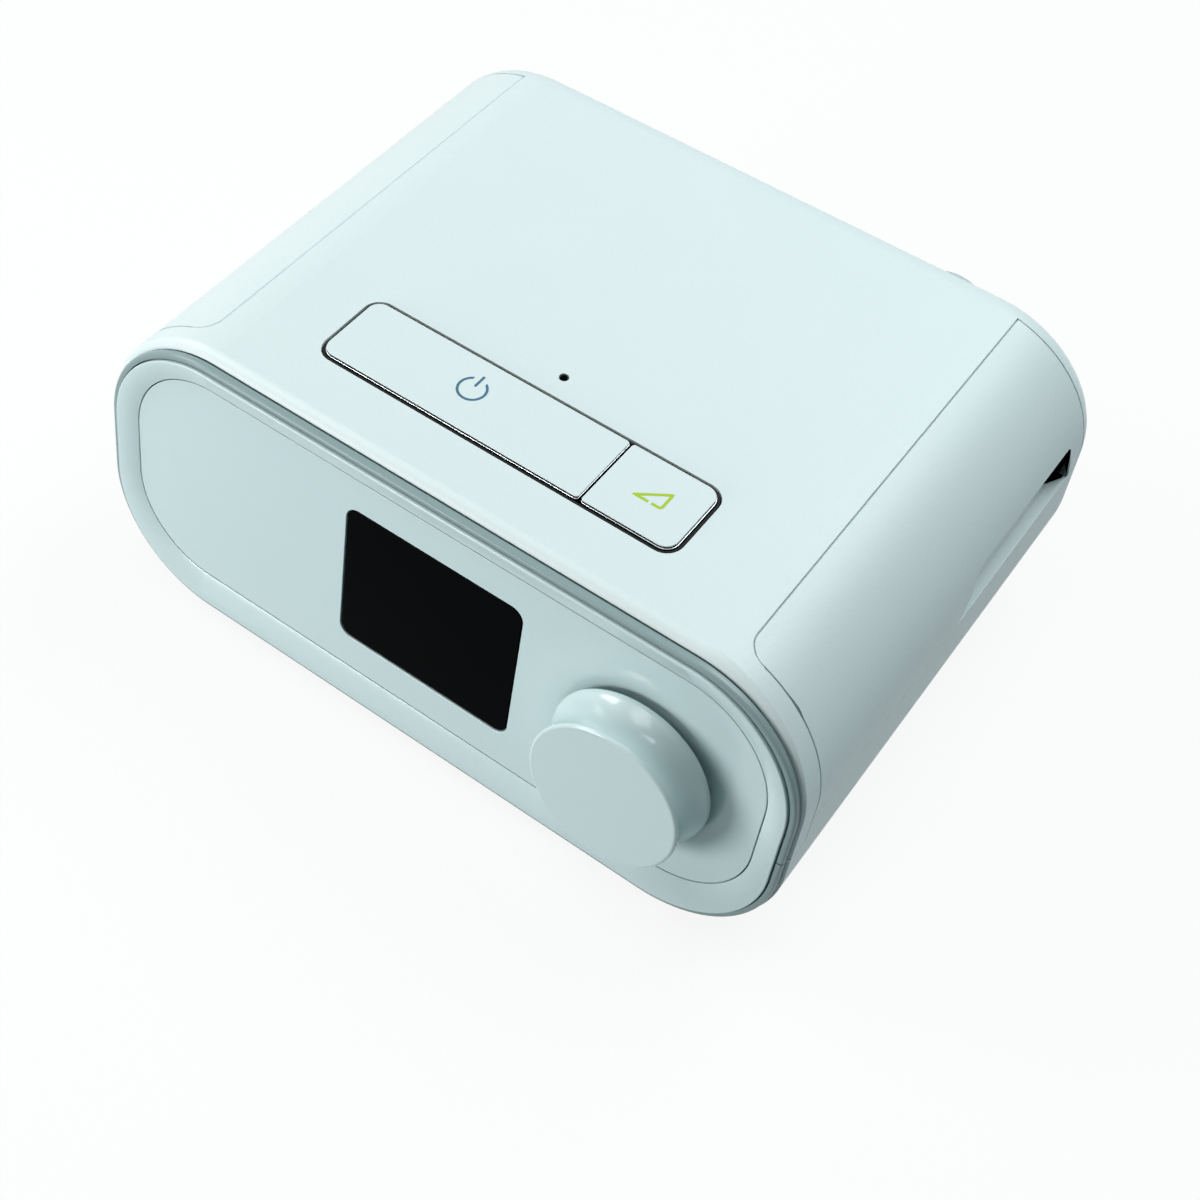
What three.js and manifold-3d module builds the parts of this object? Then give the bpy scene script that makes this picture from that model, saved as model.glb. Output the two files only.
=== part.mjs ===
// A bedside breathing machine: a rounded housing with a leaning front panel, a press-and-turn dial,
// two buttons on top, two lift-up side doors, and the blower, air path and electronics inside.
// Millimetres, +Z up, +X to the right as seen from the front, +Y towards the back.
import * as THREE from 'three';
import { mergeVertices } from 'three/addons/utils/BufferGeometryUtils.js';
import Module from 'manifold-3d';

const wasm = await Module();
wasm.setup();

// Clearances
const seatGap = 0.3; // between pieces that touch on the real machine
const seamGap = 0.4; // the visible seams round the doors
const overrun = 2; // how far a cutting tool runs past what it cuts

// Housing
const housingHalfWidth = 96.5;
const housingTop = 84;
const housingBottom = 4;
const housingBack = 147;
const upperCornerRadius = 31.4;
const lowerCornerRadius = 31;
const wall = 2.2;
const rearRoundLength = 9;
const rearRoundInset = 7;
const frontPartingHeight = 41;
const sidePartingHeight = 48.1;

// Front, measured in the plane of the leaning face: depth goes into the machine, height up the face
const faceLean = THREE.MathUtils.degToRad(7.4);
const faceFoot = 2.5;
const bezelSideMargin = 2.5;
const bezelBottom = 4;
const bezelTopMargin = 5.55;
const bezelUpperRadius = 28.85;
const bezelLowerRadius = 28.55;
const bezelRim = 0.8;
const bezelThickness = 5.6;
const panelSideMargin = 5.33;
const panelBottomMargin = 7.86;
const panelTopMargin = 5.3;
const panelUpperRadius = 24.2;
const panelLowerRadius = 22.15;
const panelDepth = 1.95;
const panelThickness = 2.5;
const trimFront = 0.7;
const trimWidth = 1.8;
const trimChamfer = 0.8;
const housingFaceDepth = 2.9;
const frontRoundDepth = 3.6;
const frontRoundRise = 2.8;

// Screen
const screenToDish = 5.6;
const screenBottomMargin = 10.24;
const screenTopMargin = 9.3;
const screenRadius = 3.5;
const screenRecess = 0.2;
const screenGlass = 1.7;
const displayMargin = 4.5;
const displayThickness = 4.2;

// Dial
const dialInset = 31.47;
const dialRise = 28.84;
const dialFaceRadius = 18.9;
const dialWaistRadius = 18.2;
const dialRimRadius = 20.2;
const dialProjection = 11;
const dialBevel = 0.7;
const dialWaistDepth = 4.2;
const dialRimThickness = 0.9;
const dialSkin = 2.2;
const dialHubRadius = 6.2;
const dialHubEnd = 3.9;
const dialTravel = 0.8;
const dishRadius = 27;
const dishSink = 4.5;
const dishSkin = 2;
const shaftRadius = 3;
const plungerRadius = 5.6;
const plungerLength = 3.5;
const encoderSize = 14;
const encoderFront = 8.9;
const frontBoardDepth = 14;
const boardThickness = 1.6;
const frontBoardSideMargin = 7;
const frontBoardBottomMargin = 3;
const frontBoardTopMargin = 6;

// Buttons on top
const buttonLeftMargin = 17.9;
const buttonRightMargin = 18.9;
const buttonFront = 28.6;
const buttonWidth = 22.5;
const rampButtonLength = 24.6;
const buttonRadius = 4.5;
const buttonProud = 0.8;
const buttonCapThickness = 0.6;
const buttonTrimThickness = 3.3;
const buttonTrimLip = 0.15;
const buttonGap = 0.4;
const squareCornerShare = 0.25;
const buttonPocketDepth = 6;
const trayWall = 0.6;
const trayFloor = 1.4;
const trayFlange = 3;
const stemRadius = 2.2;
const stemLength = 4.6;
const plungerStemRadius = 1.5;
const plungerStemLength = 2.6;
const switchSize = 6.2;
const switchHeight = 4.4;
const switchFloor = 1.5;
const sensorToButton = 6;
const sensorRadius = 0.9;
const sensorFlange = 2.4;
const sensorFlangeThickness = 1.2;

// Side doors
const seamInset = 24.4;
const doorFaceDepth = 8.8;
const doorBackMargin = 7.8;
const doorCornerRadius = 5.2;
const pivotInset = 17.5;
const pivotDrop = 10;
const swingRadius = 7.6;
const pinRadius = 1.2;
const pinLength = 7.4;
const eyeRadius = 3.2;
const ribThickness = 2;
const ribSpread = THREE.MathUtils.degToRad(11);
const ribHeelShare = 0.8;
const frontRibMargin = 4.84;
const rearRibMargin = 4.2;
const notchLength = 51;
const notchBackMargin = 5.2;
const notchHeight = 12.6;
const notchSlant = 2;

// Frame inside
const frameWall = 2;
const frameToPivot = 12;
const frameTopMargin = 4.6;
const frameFront = 9.5;
const frameBackMargin = 5.5;
const crossDepth = 16.5;
const crossBottom = 14;
const crossTopMargin = 5.4;
const earDrop = 14;
const earReach = 11;
const shelfHeight = 46;
const shelfReach = 26;
const postRadius = 4.8;
const postInset = 5.4;
const postFrontY = 44;
const postRearMargin = 29.5;
const postTop = 22;
const bossTop = 12;
const tieHeight = 6;

// Filters, on the right
const filterMargin = 1;
const filterBottom = 20;
const filterTop = 57;
const filterFrameWall = 2;
const filterFrameDepth = 8;
const filterRibs = 7;
const filterLipShare = 1.5;
const filterSlotShare = 0.25;
const pollenThickness = 5;
const scoopThickness = 1.4;
const scoopRun = 8;
const scoopRise = 11;

// Card slot and accessory cover, on the left
const cardWidth = 24;
const cardLength = 32;
const cardThickness = 2.1;
const cardHeight = 55;
const cardY = 46;
const cardProud = 3;
const socketLength = 30;
const socketWall = 1;
const coverLength = 62;
const coverBackMargin = 11.2;
const coverBottom = 14;
const coverTop = 42;
const coverThickness = 2.4;
const coverGripDepth = 6;

// Blower
const blowerX = 6;
const blowerY = 70;
const voluteRadius = 38;
const voluteBottom = 32;
const voluteTop = 56;
const voluteWall = 2;
const spoutInset = 12;
const spoutLength = 42;
const pipeRadius = 11;
const pipeBore = 9.2;
const inletRadius = 15;
const inletRim = 2;
const inletHeight = 4;
const impellerToVolute = 6;
const impellerBottom = 35.6;
const impellerDisc = 1.6;
const bladeHeight = 13;
const bladeThickness = 1.4;
const bladeCount = 9;
const bladeInner = 10;
const bladeSweep = 0.9;
const hubRadius = 7;
const motorShaftRadius = 1.5;
const motorShaftBottom = 13;
const bearingRadius = 4.5;
const bearingHeight = 3;
const rotorRadius = 8.5;
const rotorBottom = 16;
const rotorTop = 27.6;
const statorInner = 9;
const statorOuter = 17.4;
const statorTeeth = 6;
const statorSlotDepth = 4.6;
const motorCupWall = 2;
const motorCupBottom = 10.4;
const damperInner = 11;
const damperOuter = 18;
const foamLength = 46;
const foamBackMargin = 11.5;
const foamWidth = 18;
const foamToVolute = 1;
const foamChannel = 14;

// Air outlet and sockets at the back
const portInset = 20;
const portDrop = 14.5;
const portReach = 10;
const portInnerMargin = 12;
const portBore = 9;
const collarSize = 26;
const collarRadius = 8;
const collarThickness = 2.4;
const ductWall = 1.6;
const ductOverlap = 6;
const rearPanelSideMargin = 26.5;
const rearPanelBottom = 13;
const rearPanelTopMargin = 9;
const rearPanelRadius = 9;
const rearPanelThickness = 2.2;
const rearPanelRecess = 0.4;
const jackInset = 20;
const jackZ = 24;
const jackRadius = 6.5;
const jackBore = 4.5;
const jackBoreDepth = 9;
const jackBody = 16;
const jackLength = 14;
const linkHalfWidth = 14;
const linkZ = 24;
const linkHeight = 9;
const linkLength = 12;
const linkWall = 1.5;
const linkDepth = 7;

// Main board
const boardWidth = 27.5;
const boardSideMargin = 3.5;
const boardFront = 52;
const boardLength = 52;
const boardHeight = 14;
const boardPostRadius = 2.5;
const capacitorRadius = 4;
const capacitorHeight = 11;
const capacitorPitch = 12;
const capacitorShare = 0.12;
const chipShare = 0.38;
const inductorShare = 0.6;
const chipSize = 12;
const chipHeight = 1.6;
const inductorSize = 9;
const inductorHeight = 6;
const pressureSize = 8;
const pressureHeight = 4.5;
const nozzleRadius = 1.3;
const nozzleHeight = 5;

// Feet and screws
const footRadius = 7;
const footInset = 5.6;
const footFrontY = 24;
const footRearMargin = 21;
const footRecess = 1;
const screwHeadRadius = 2.8;
const screwHeadHeight = 1.8;
const screwShankRadius = 1.4;
const screwLength = 14;
const screwSeat = 5.2;
const screwDriveShare = 0.7;

// Facets
const cornerSteps = 8;
const roundSteps = 20;
const fineSteps = 32;
const smallSteps = 12;
const rearRoundSteps = 4;
const frontRoundSteps = 3;
const dishSteps = 5;
const filletSteps = 4;
const bladeSteps = 4;

// Places that follow from the sizes
const bezelHalfWidth = housingHalfWidth - bezelSideMargin;
const bezelTop = housingTop - bezelTopMargin;
const panelHalfWidth = bezelHalfWidth - panelSideMargin;
const panelBottom = bezelBottom + panelBottomMargin;
const panelTop = bezelTop - panelTopMargin;
const dialX = panelHalfWidth - dialInset;
const dialHeight = panelBottom + dialRise;
const screenHalfWidth = dialX - dishRadius - screenToDish;
const screenBottom = panelBottom + screenBottomMargin;
const screenTop = panelTop - screenTopMargin;
const seamX = housingHalfWidth - seamInset;
const pivotX = housingHalfWidth - pivotInset;
const pivotZ = housingTop - pivotDrop;
const doorBack = housingBack - doorBackMargin;
const frontRibY = faceY(doorFaceDepth, pivotZ) + frontRibMargin;
const rearRibY = doorBack - rearRibMargin;
const notchBack = doorBack - notchBackMargin;
const notchFront = notchBack - notchLength;
const frameHalfWidth = pivotX - frameToPivot;
const frameTop = housingTop - frameTopMargin;
const frameBack = housingBack - frameBackMargin;
const crossTop = frameTop - crossTopMargin;
const postX = frameHalfWidth - postInset;
const postRearY = frameBack - postRearMargin;
const footX = postX - footInset;
const footRearY = housingBack - footRearMargin;
const frontBoardHalfWidth = frameHalfWidth - frontBoardSideMargin;
const frontBoardBottom = crossBottom + frontBoardBottomMargin;
const frontBoardTop = crossTop - frontBoardTopMargin;
const buttonLeft = buttonLeftMargin - frameHalfWidth;
const buttonRight = frameHalfWidth - buttonRightMargin;
const buttonDivide = buttonRight - rampButtonLength;
const buttonBack = buttonFront + buttonWidth;
const sensorY = buttonBack + sensorToButton;
const filterFront = notchFront + filterMargin;
const filterBack = notchBack - filterMargin;
const coverBack = doorBack - coverBackMargin;
const coverFront = coverBack - coverLength;
const rearPanelHalfWidth = housingHalfWidth - rearPanelSideMargin;
const rearPanelTop = housingTop - rearPanelTopMargin;
const portX = rearPanelHalfWidth - portInset;
const portZ = rearPanelTop - portDrop;
const portEnd = housingBack + portReach;
const portInner = housingBack - portInnerMargin;
const jackX = jackInset - rearPanelHalfWidth;
const boardLeft = boardSideMargin - frameHalfWidth;
const boardRight = boardLeft + boardWidth;
const boardBack = boardFront + boardLength;
const foamLeft = frameHalfWidth - foamWidth;
const foamBack = frameBack - foamBackMargin;
const foamFront = foamBack - foamLength;
const foamTop = voluteBottom - foamToVolute;
const impellerRadius = voluteRadius - impellerToVolute;
const spoutOffset = voluteRadius - spoutInset;
const voluteSplit = (voluteBottom + voluteTop) / 2;
const section = {
  half: housingHalfWidth,
  bottom: housingBottom,
  top: housingTop,
  upper: upperCornerRadius,
  lower: lowerCornerRadius,
};
const panelOutline = {
  half: panelHalfWidth,
  bottom: panelBottom,
  top: panelTop,
  upper: panelUpperRadius,
  lower: panelLowerRadius,
};
const bezelOutline = {
  half: bezelHalfWidth,
  bottom: bezelBottom,
  top: bezelTop,
  upper: bezelUpperRadius,
  lower: bezelLowerRadius,
};
const wayOut = housingHalfWidth + overrun;
const panelBack = panelDepth + panelThickness;
const trayTop = housingTop - seatGap;
const pocketFloor = housingTop - buttonPocketDepth;
const capTop = housingTop + buttonProud;
const capBottom = capTop - buttonCapThickness;
const trimTop = capBottom - seatGap;
const trimBottom = trimTop - buttonTrimThickness;
const stemBottom = trimBottom - stemLength;
const switchPlungerTop = stemBottom - seatGap;
const switchTop = switchPlungerTop - plungerStemLength / 2;
const switchBottom = switchTop - switchHeight;
const buttonBoardTop = switchBottom - seatGap;
const dialLowest = dialHeight - dialFaceRadius + dialBevel;
const foremostY = dialLowest * Math.sin(faceLean) - dialProjection * Math.cos(faceLean);
const middleY = (foremostY + portEnd) / 2;

// y of a plane parallel to the face, at a height above the table
function faceY(depth, height) {
  return (depth + (height - faceFoot) * Math.sin(faceLean)) / Math.cos(faceLean);
}

// Solids
function solidOf(geometry) {
  const bare = geometry.index ? geometry.toNonIndexed() : geometry.clone();
  bare.deleteAttribute('normal');
  bare.deleteAttribute('uv');
  const merged = mergeVertices(bare);
  return new wasm.Manifold(
    new wasm.Mesh({
      numProp: 3,
      vertProperties: new Float32Array(merged.attributes.position.array),
      triVerts: new Uint32Array(merged.index.array),
    }),
  );
}

function geometryOf(solid) {
  const mesh = solid.getMesh();
  const geometry = new THREE.BufferGeometry();
  geometry.setAttribute('position', new THREE.BufferAttribute(mesh.vertProperties, mesh.numProp));
  geometry.setIndex(new THREE.BufferAttribute(mesh.triVerts, 1));
  geometry.computeVertexNormals();
  return geometry;
}

function join(first, ...rest) {
  return rest.reduce((sum, solid) => sum.add(solid), first);
}

function cut(first, ...tools) {
  return tools.reduce((left, tool) => left.subtract(tool), first);
}

// Outlines
function roundedOutline({ half, bottom, top, upper, lower }, inset = 0) {
  const points = [];
  const corner = (x, y, radius, start) => {
    for (let i = 0; i <= cornerSteps; i += 1) {
      const angle = start + ((Math.PI / 2) * i) / cornerSteps;
      points.push(new THREE.Vector2(x + radius * Math.cos(angle), y + radius * Math.sin(angle)));
    }
  };
  corner(half - upper, top - upper, upper - inset, 0);
  corner(upper - half, top - upper, upper - inset, Math.PI / 2);
  corner(lower - half, bottom + lower, lower - inset, Math.PI);
  corner(half - lower, bottom + lower, lower - inset, (Math.PI * 3) / 2);
  return points;
}

function roundedRectangle(left, bottom, right, top, radius) {
  const shape = new THREE.Shape();
  shape.moveTo(left + radius, bottom);
  shape.lineTo(right - radius, bottom);
  shape.absarc(right - radius, bottom + radius, radius, -Math.PI / 2, 0, false);
  shape.lineTo(right, top - radius);
  shape.absarc(right - radius, top - radius, radius, 0, Math.PI / 2, false);
  shape.lineTo(left + radius, top);
  shape.absarc(left + radius, top - radius, radius, Math.PI / 2, Math.PI, false);
  shape.lineTo(left, bottom + radius);
  shape.absarc(left + radius, bottom + radius, radius, Math.PI, (Math.PI * 3) / 2, false);
  return shape;
}

function polygon(...corners) {
  return new THREE.Shape(corners.map(([u, v]) => new THREE.Vector2(u, v)));
}

// A prism of an outline in the XY plane, from z = low to z = high
function prismZ(shape, low, high, curveSegments = cornerSteps) {
  const geometry = new THREE.ExtrudeGeometry(shape, {
    depth: high - low,
    bevelEnabled: false,
    curveSegments,
  });
  return solidOf(geometry.translate(0, 0, low));
}

// A prism of an outline in the XZ plane, from y = low to y = high
function prismY(shape, low, high, curveSegments = cornerSteps) {
  const geometry = new THREE.ExtrudeGeometry(shape, {
    depth: high - low,
    bevelEnabled: false,
    curveSegments,
  });
  return solidOf(geometry.rotateX(Math.PI / 2).translate(0, high, 0));
}

// A prism of an outline in the YZ plane, from x = low to x = high
function prismX(shape, low, high, curveSegments = cornerSteps) {
  const geometry = new THREE.ExtrudeGeometry(shape, {
    depth: high - low,
    bevelEnabled: false,
    curveSegments,
  });
  return solidOf(geometry.rotateX(Math.PI / 2).rotateZ(Math.PI / 2).translate(low, 0, 0));
}

function box(x0, y0, z0, x1, y1, z1) {
  const geometry = new THREE.BoxGeometry(x1 - x0, y1 - y0, z1 - z0);
  return solidOf(geometry.translate((x0 + x1) / 2, (y0 + y1) / 2, (z0 + z1) / 2));
}

function rodZ(radius, x, y, low, high, steps = roundSteps) {
  const geometry = new THREE.CylinderGeometry(radius, radius, high - low, steps);
  return solidOf(geometry.rotateX(Math.PI / 2).translate(x, y, (low + high) / 2));
}

function rodY(radius, x, z, low, high, steps = roundSteps) {
  const geometry = new THREE.CylinderGeometry(radius, radius, high - low, steps);
  return solidOf(geometry.translate(x, (low + high) / 2, z));
}

// A turned solid about the Y axis through (x, z): the profile lists radius and y from low y to high y
function turned(profile, x, z, steps = fineSteps) {
  const points = profile.map(([radius, y]) => new THREE.Vector2(radius, y));
  const geometry = new THREE.LatheGeometry(points, steps);
  return solidOf(geometry.translate(x, 0, z));
}

// A turned solid about the vertical through (x, y): the profile lists radius and z from low to high
function turnedZ(profile, x, y, steps = fineSteps) {
  const points = profile.map(([radius, z]) => new THREE.Vector2(radius, z));
  const geometry = new THREE.LatheGeometry(points, steps);
  return solidOf(geometry.rotateX(Math.PI / 2).translate(x, y, 0));
}

// A closed skin through outlines with like numbers of points, each at its own y
function loft(rings) {
  const count = rings[0].outline.length;
  const positions = rings.flatMap(({ outline, y }) => outline.flatMap((p) => [p.x, y, p.y]));
  const faces = [];
  for (let r = 0; r + 1 < rings.length; r += 1) {
    for (let i = 0; i < count; i += 1) {
      const j = (i + 1) % count;
      const a = r * count + i;
      const b = r * count + j;
      faces.push(a, a + count, b, b, a + count, b + count);
    }
  }
  const cap = THREE.ShapeUtils.triangulateShape(rings[0].outline, []);
  const last = (rings.length - 1) * count;
  cap.forEach(([a, b, c]) => faces.push(a, b, c, last + a, last + c, last + b));
  const geometry = new THREE.BufferGeometry();
  geometry.setAttribute('position', new THREE.Float32BufferAttribute(positions, 3));
  geometry.setIndex(faces);
  return solidOf(geometry);
}

// A solid made in the frame of the leaning face, put where it lies in the machine
function leaned(solid) {
  const place = new THREE.Matrix4().makeTranslation(0, 0, faceFoot);
  place.multiply(new THREE.Matrix4().makeRotationX(-faceLean));
  return solid.transform(place.elements);
}

function mirrored(solid) {
  return solid.mirror([1, 0, 0]);
}

// Everything deeper than a plane parallel to the face
function behindFace(depth) {
  const reach = housingBack + housingTop;
  return leaned(box(-reach, depth, -reach, reach, depth + reach, reach));
}

// Housing shells
function roundedBody(inset) {
  const rings = [{ outline: roundedOutline(section, inset), y: -housingTop }];
  for (let i = 0; i <= rearRoundSteps; i += 1) {
    const angle = ((Math.PI / 2) * i) / rearRoundSteps;
    rings.push({
      outline: roundedOutline(section, inset + rearRoundInset * (1 - Math.cos(angle))),
      y: housingBack - inset - rearRoundLength * (1 - Math.sin(angle)),
    });
  }
  return loft(rings);
}

function frontRounding() {
  const rings = [];
  for (let i = 0; i <= frontRoundSteps; i += 1) {
    const angle = ((Math.PI / 2) * i) / frontRoundSteps;
    const grow = trimWidth + frontRoundRise * Math.sin(angle);
    rings.push({
      outline: roundedOutline(bezelOutline, -grow),
      y: housingFaceDepth + frontRoundDepth * (1 - Math.cos(angle)),
    });
  }
  const beyond = roundedOutline(bezelOutline, -housingTop);
  rings.push({ outline: beyond, y: housingFaceDepth + frontRoundDepth + seatGap });
  rings.push({ outline: beyond, y: housingBack + housingTop });
  return leaned(loft(rings));
}

function rearWindow(clearance) {
  return roundedRectangle(
    clearance - rearPanelHalfWidth,
    rearPanelBottom + clearance,
    rearPanelHalfWidth - clearance,
    rearPanelTop - clearance,
    rearPanelRadius - clearance,
  );
}

function housingShell() {
  const outer = roundedBody(0).intersect(frontRounding());
  const window = prismY(rearWindow(0), housingBack - rearRoundLength, housingBack + overrun);
  return cut(outer, roundedBody(wall), window);
}

// The space above the seam between the two housings
function upperSpace(clearance) {
  const low = Math.min(frontPartingHeight, sidePartingHeight) + clearance;
  const high = Math.max(frontPartingHeight, sidePartingHeight) + clearance;
  const front = box(-wayOut, -wayOut, low, wayOut, portEnd, housingTop + overrun);
  const step = box(-wayOut, -wayOut, low - overrun, wayOut, portEnd, high);
  return cut(front, step.intersect(behindFace(doorFaceDepth - clearance)));
}

// The space of the right-hand door: its top edge turns about the pivot, so that it clears the housing
function doorSpace(clearance) {
  const centreX = housingHalfWidth - upperCornerRadius;
  const surfaceZ = (x) => {
    const rise = Math.sqrt(upperCornerRadius ** 2 - Math.max(x - centreX, 0) ** 2);
    return housingTop - upperCornerRadius + rise;
  };
  const radiusAt = (x) => Math.hypot(x - pivotX, surfaceZ(x) - pivotZ) + clearance;
  const cornerY = faceY(doorFaceDepth, surfaceZ(seamX + doorCornerRadius));
  const profile = [[0, -housingTop], [radiusAt(seamX + doorCornerRadius), -housingTop]];
  for (let i = 0; i <= filletSteps; i += 1) {
    const angle = ((Math.PI / 2) * i) / filletSteps;
    profile.push([
      radiusAt(seamX + doorCornerRadius * (1 - Math.sin(angle))),
      cornerY + doorCornerRadius * (1 - Math.cos(angle)),
    ]);
  }
  profile.push([radiusAt(seamX), doorBack + clearance], [0, doorBack + clearance]);
  const low = sidePartingHeight - clearance;
  const swing = turned(profile, pivotX, pivotZ, fineSteps);
  const side = box(pivotX, -housingTop, low, wayOut, doorBack + clearance, housingTop + overrun);
  const above = box(-wayOut, -wayOut, low, wayOut, portEnd, housingTop + overrun);
  return join(swing, side).intersect(above).intersect(behindFace(doorFaceDepth - clearance));
}

function buttonOpening(inset) {
  return roundedRectangle(
    buttonLeft + inset,
    buttonFront + inset,
    buttonRight - inset,
    buttonBack - inset,
    buttonRadius - inset,
  );
}

function upperHousing() {
  const space = doorSpace(seamGap / 2);
  const hole = prismZ(buttonOpening(0), housingTop - wall - overrun, housingTop + overrun, filletSteps);
  const sensor = rodZ(
    sensorRadius + seatGap,
    0,
    sensorY,
    housingTop - wall - overrun,
    housingTop + overrun,
    smallSteps,
  );
  return cut(housingShell().intersect(upperSpace(seatGap / 2)), space, mirrored(space), hole, sensor);
}

function lowerHousing() {
  const shell = cut(housingShell(), upperSpace(-seatGap / 2));
  const floor = housingBottom + wall;
  const adds = [];
  const cuts = [];
  for (const side of [-1, 1]) {
    for (const y of [postFrontY, postRearY]) {
      adds.push(rodZ(postRadius, side * postX, y, floor - wall / 2, bossTop, smallSteps));
      cuts.push(rodZ(screwShankRadius + seatGap, side * postX, y, 0, bossTop + overrun, smallSteps));
      cuts.push(rodZ(
        screwHeadRadius + seatGap,
        side * postX,
        y,
        0,
        screwSeat + screwHeadHeight + seatGap,
        smallSteps,
      ));
    }
    for (const y of [footFrontY, footRearY]) {
      cuts.push(rodZ(
        footRadius + seatGap,
        side * footX,
        y,
        0,
        housingBottom + footRecess + seatGap,
        roundSteps,
      ));
    }
  }
  for (const x of [boardLeft + 2 * boardPostRadius, boardRight - boardPostRadius]) {
    for (const y of [boardFront + 2 * boardPostRadius, boardBack - 2 * boardPostRadius]) {
      adds.push(rodZ(boardPostRadius, x, y, floor - wall / 2, boardHeight - seatGap, smallSteps));
    }
  }
  return cut(join(shell, ...adds), ...cuts);
}

function rearPanel() {
  const back = housingBack - rearPanelRecess;
  const front = back - rearPanelThickness;
  const plate = prismY(rearWindow(seatGap), front, back);
  const far = back + overrun;
  const port = rodY(pipeRadius + seatGap, portX, portZ, front - overrun, far);
  const jack = rodY(jackRadius + seatGap, jackX, jackZ, front - overrun, far);
  const link = box(
    -linkHalfWidth - seatGap,
    front - overrun,
    linkZ - linkHeight / 2 - seatGap,
    linkHalfWidth + seatGap,
    far,
    linkZ + linkHeight / 2 + seatGap,
  );
  return cut(plate, port, jack, link);
}

// Front trim, bezel and panel, made in the frame of the face
function trimBand() {
  const back = housingFaceDepth - seatGap;
  const outer = loft([
    { outline: roundedOutline(bezelOutline, trimChamfer - trimWidth), y: trimFront },
    { outline: roundedOutline(bezelOutline, -trimWidth), y: trimFront + trimChamfer },
    { outline: roundedOutline(bezelOutline, -trimWidth), y: back },
  ]);
  const inner = loft([
    { outline: roundedOutline(bezelOutline, -seatGap), y: -overrun },
    { outline: roundedOutline(bezelOutline, -seatGap), y: back + overrun },
  ]);
  return cut(outer, inner);
}

function trimHalf(upper) {
  const split = (frontPartingHeight - faceFoot) / Math.cos(faceLean);
  const low = upper ? split + seatGap / 2 : -overrun;
  const high = upper ? housingTop + overrun : split - seatGap / 2;
  return leaned(trimBand().intersect(box(-wayOut, -overrun, low, wayOut, housingFaceDepth, high)));
}

function frontBezel() {
  const outer = loft([
    { outline: roundedOutline(bezelOutline, 0), y: 0 },
    { outline: roundedOutline(bezelOutline, 0), y: bezelThickness },
  ]);
  const slope = (bezelHalfWidth - bezelRim - panelHalfWidth) / panelDepth;
  const lead = { ...panelOutline };
  const mouth = (depth) => roundedOutline(lead, -slope * (panelDepth - depth));
  const hole = loft([
    { outline: mouth(-seatGap), y: -seatGap },
    { outline: mouth(panelDepth), y: panelDepth },
    { outline: mouth(panelDepth), y: bezelThickness + overrun },
  ]);
  const front = box(-wayOut, -overrun, -overrun, wayOut, housingFaceDepth - seatGap, housingTop + overrun);
  const inside = join(leaned(front), roundedBody(wall + seatGap));
  return leaned(cut(outer, hole)).intersect(inside);
}

function dish(offset) {
  const profile = [[0, -overrun]];
  profile.push([dishRadius, -overrun]);
  const points = [];
  for (let i = 0; i <= dishSteps; i += 1) {
    const share = i / dishSteps;
    const sink = (dishSink * (1 + Math.cos(Math.PI * share))) / 2;
    points.push([dishRadius * share, panelDepth + sink + offset]);
  }
  return [...profile, ...points.reverse()];
}

function frontPanel() {
  const outline = roundedOutline(panelOutline, seatGap);
  const plate = loft([
    { outline, y: panelDepth },
    { outline, y: panelBack },
  ]);
  const bulge = turned(dish(dishSkin), dialX, dialHeight).intersect(
    box(0, panelDepth + overrun / 2, 0, wayOut, crossDepth, housingTop),
  );
  const bowl = turned(dish(0), dialX, dialHeight);
  const window = prismY(
    roundedRectangle(-screenHalfWidth, screenBottom, screenHalfWidth, screenTop, screenRadius),
    0,
    panelBack + overrun,
  );
  const hole = rodY(plungerRadius + seatGap, dialX, dialHeight, 0, crossDepth);
  return leaned(cut(join(plate, bulge), bowl, window, hole));
}

function displayWindow() {
  const glass = roundedRectangle(
    seatGap - screenHalfWidth,
    screenBottom + seatGap,
    screenHalfWidth - seatGap,
    screenTop - seatGap,
    screenRadius - seatGap,
  );
  const front = panelDepth + screenRecess;
  return leaned(prismY(glass, front, front + screenGlass));
}

function displayModule() {
  const back = panelBack + seatGap + displayThickness;
  const half = screenHalfWidth + displayMargin;
  const low = screenBottom - displayMargin;
  const high = screenTop + displayMargin;
  const can = box(-half, panelBack + seatGap, low, half, back, high);
  const tail = box(
    -half / 2,
    back - overrun / 2,
    low,
    half / 2,
    frontBoardDepth - seatGap,
    low + displayMargin,
  );
  return leaned(join(can, tail));
}

function frontBoard() {
  const board = roundedRectangle(
    -frontBoardHalfWidth,
    frontBoardBottom,
    dialX + encoderSize / 2,
    frontBoardTop,
    2 * wall,
  );
  return leaned(prismY(board, frontBoardDepth, frontBoardDepth + boardThickness, 2));
}

// Dial and what it turns and presses
function controlDial() {
  const face = -dialProjection;
  const rim = dialRimRadius;
  const profile = [
    [0, face],
    [dialFaceRadius - dialBevel, face],
    [dialFaceRadius, face + dialBevel],
    [dialFaceRadius, face + 2 * dialBevel],
    [dialWaistRadius, face + dialWaistDepth],
    [(dialWaistRadius + rim) / 2, (face + dialWaistDepth) / 2 - dialBevel],
    [rim, -dialBevel],
    [rim, dialRimThickness - dialBevel / 2],
    [rim - dialBevel, dialRimThickness],
    [rim - dialBevel - dialSkin, dialRimThickness],
    [dialWaistRadius - dialSkin, face + dialWaistDepth],
    [dialFaceRadius - 2 * dialSkin, face + dialSkin],
    [dialHubRadius, face + dialSkin],
    [dialHubRadius, dialHubEnd],
    [shaftRadius + seatGap, dialHubEnd],
    [shaftRadius + seatGap, face + 2 * dialSkin],
    [0, face + 2 * dialSkin],
  ];
  return leaned(turned(profile, dialX, dialHeight));
}

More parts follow.
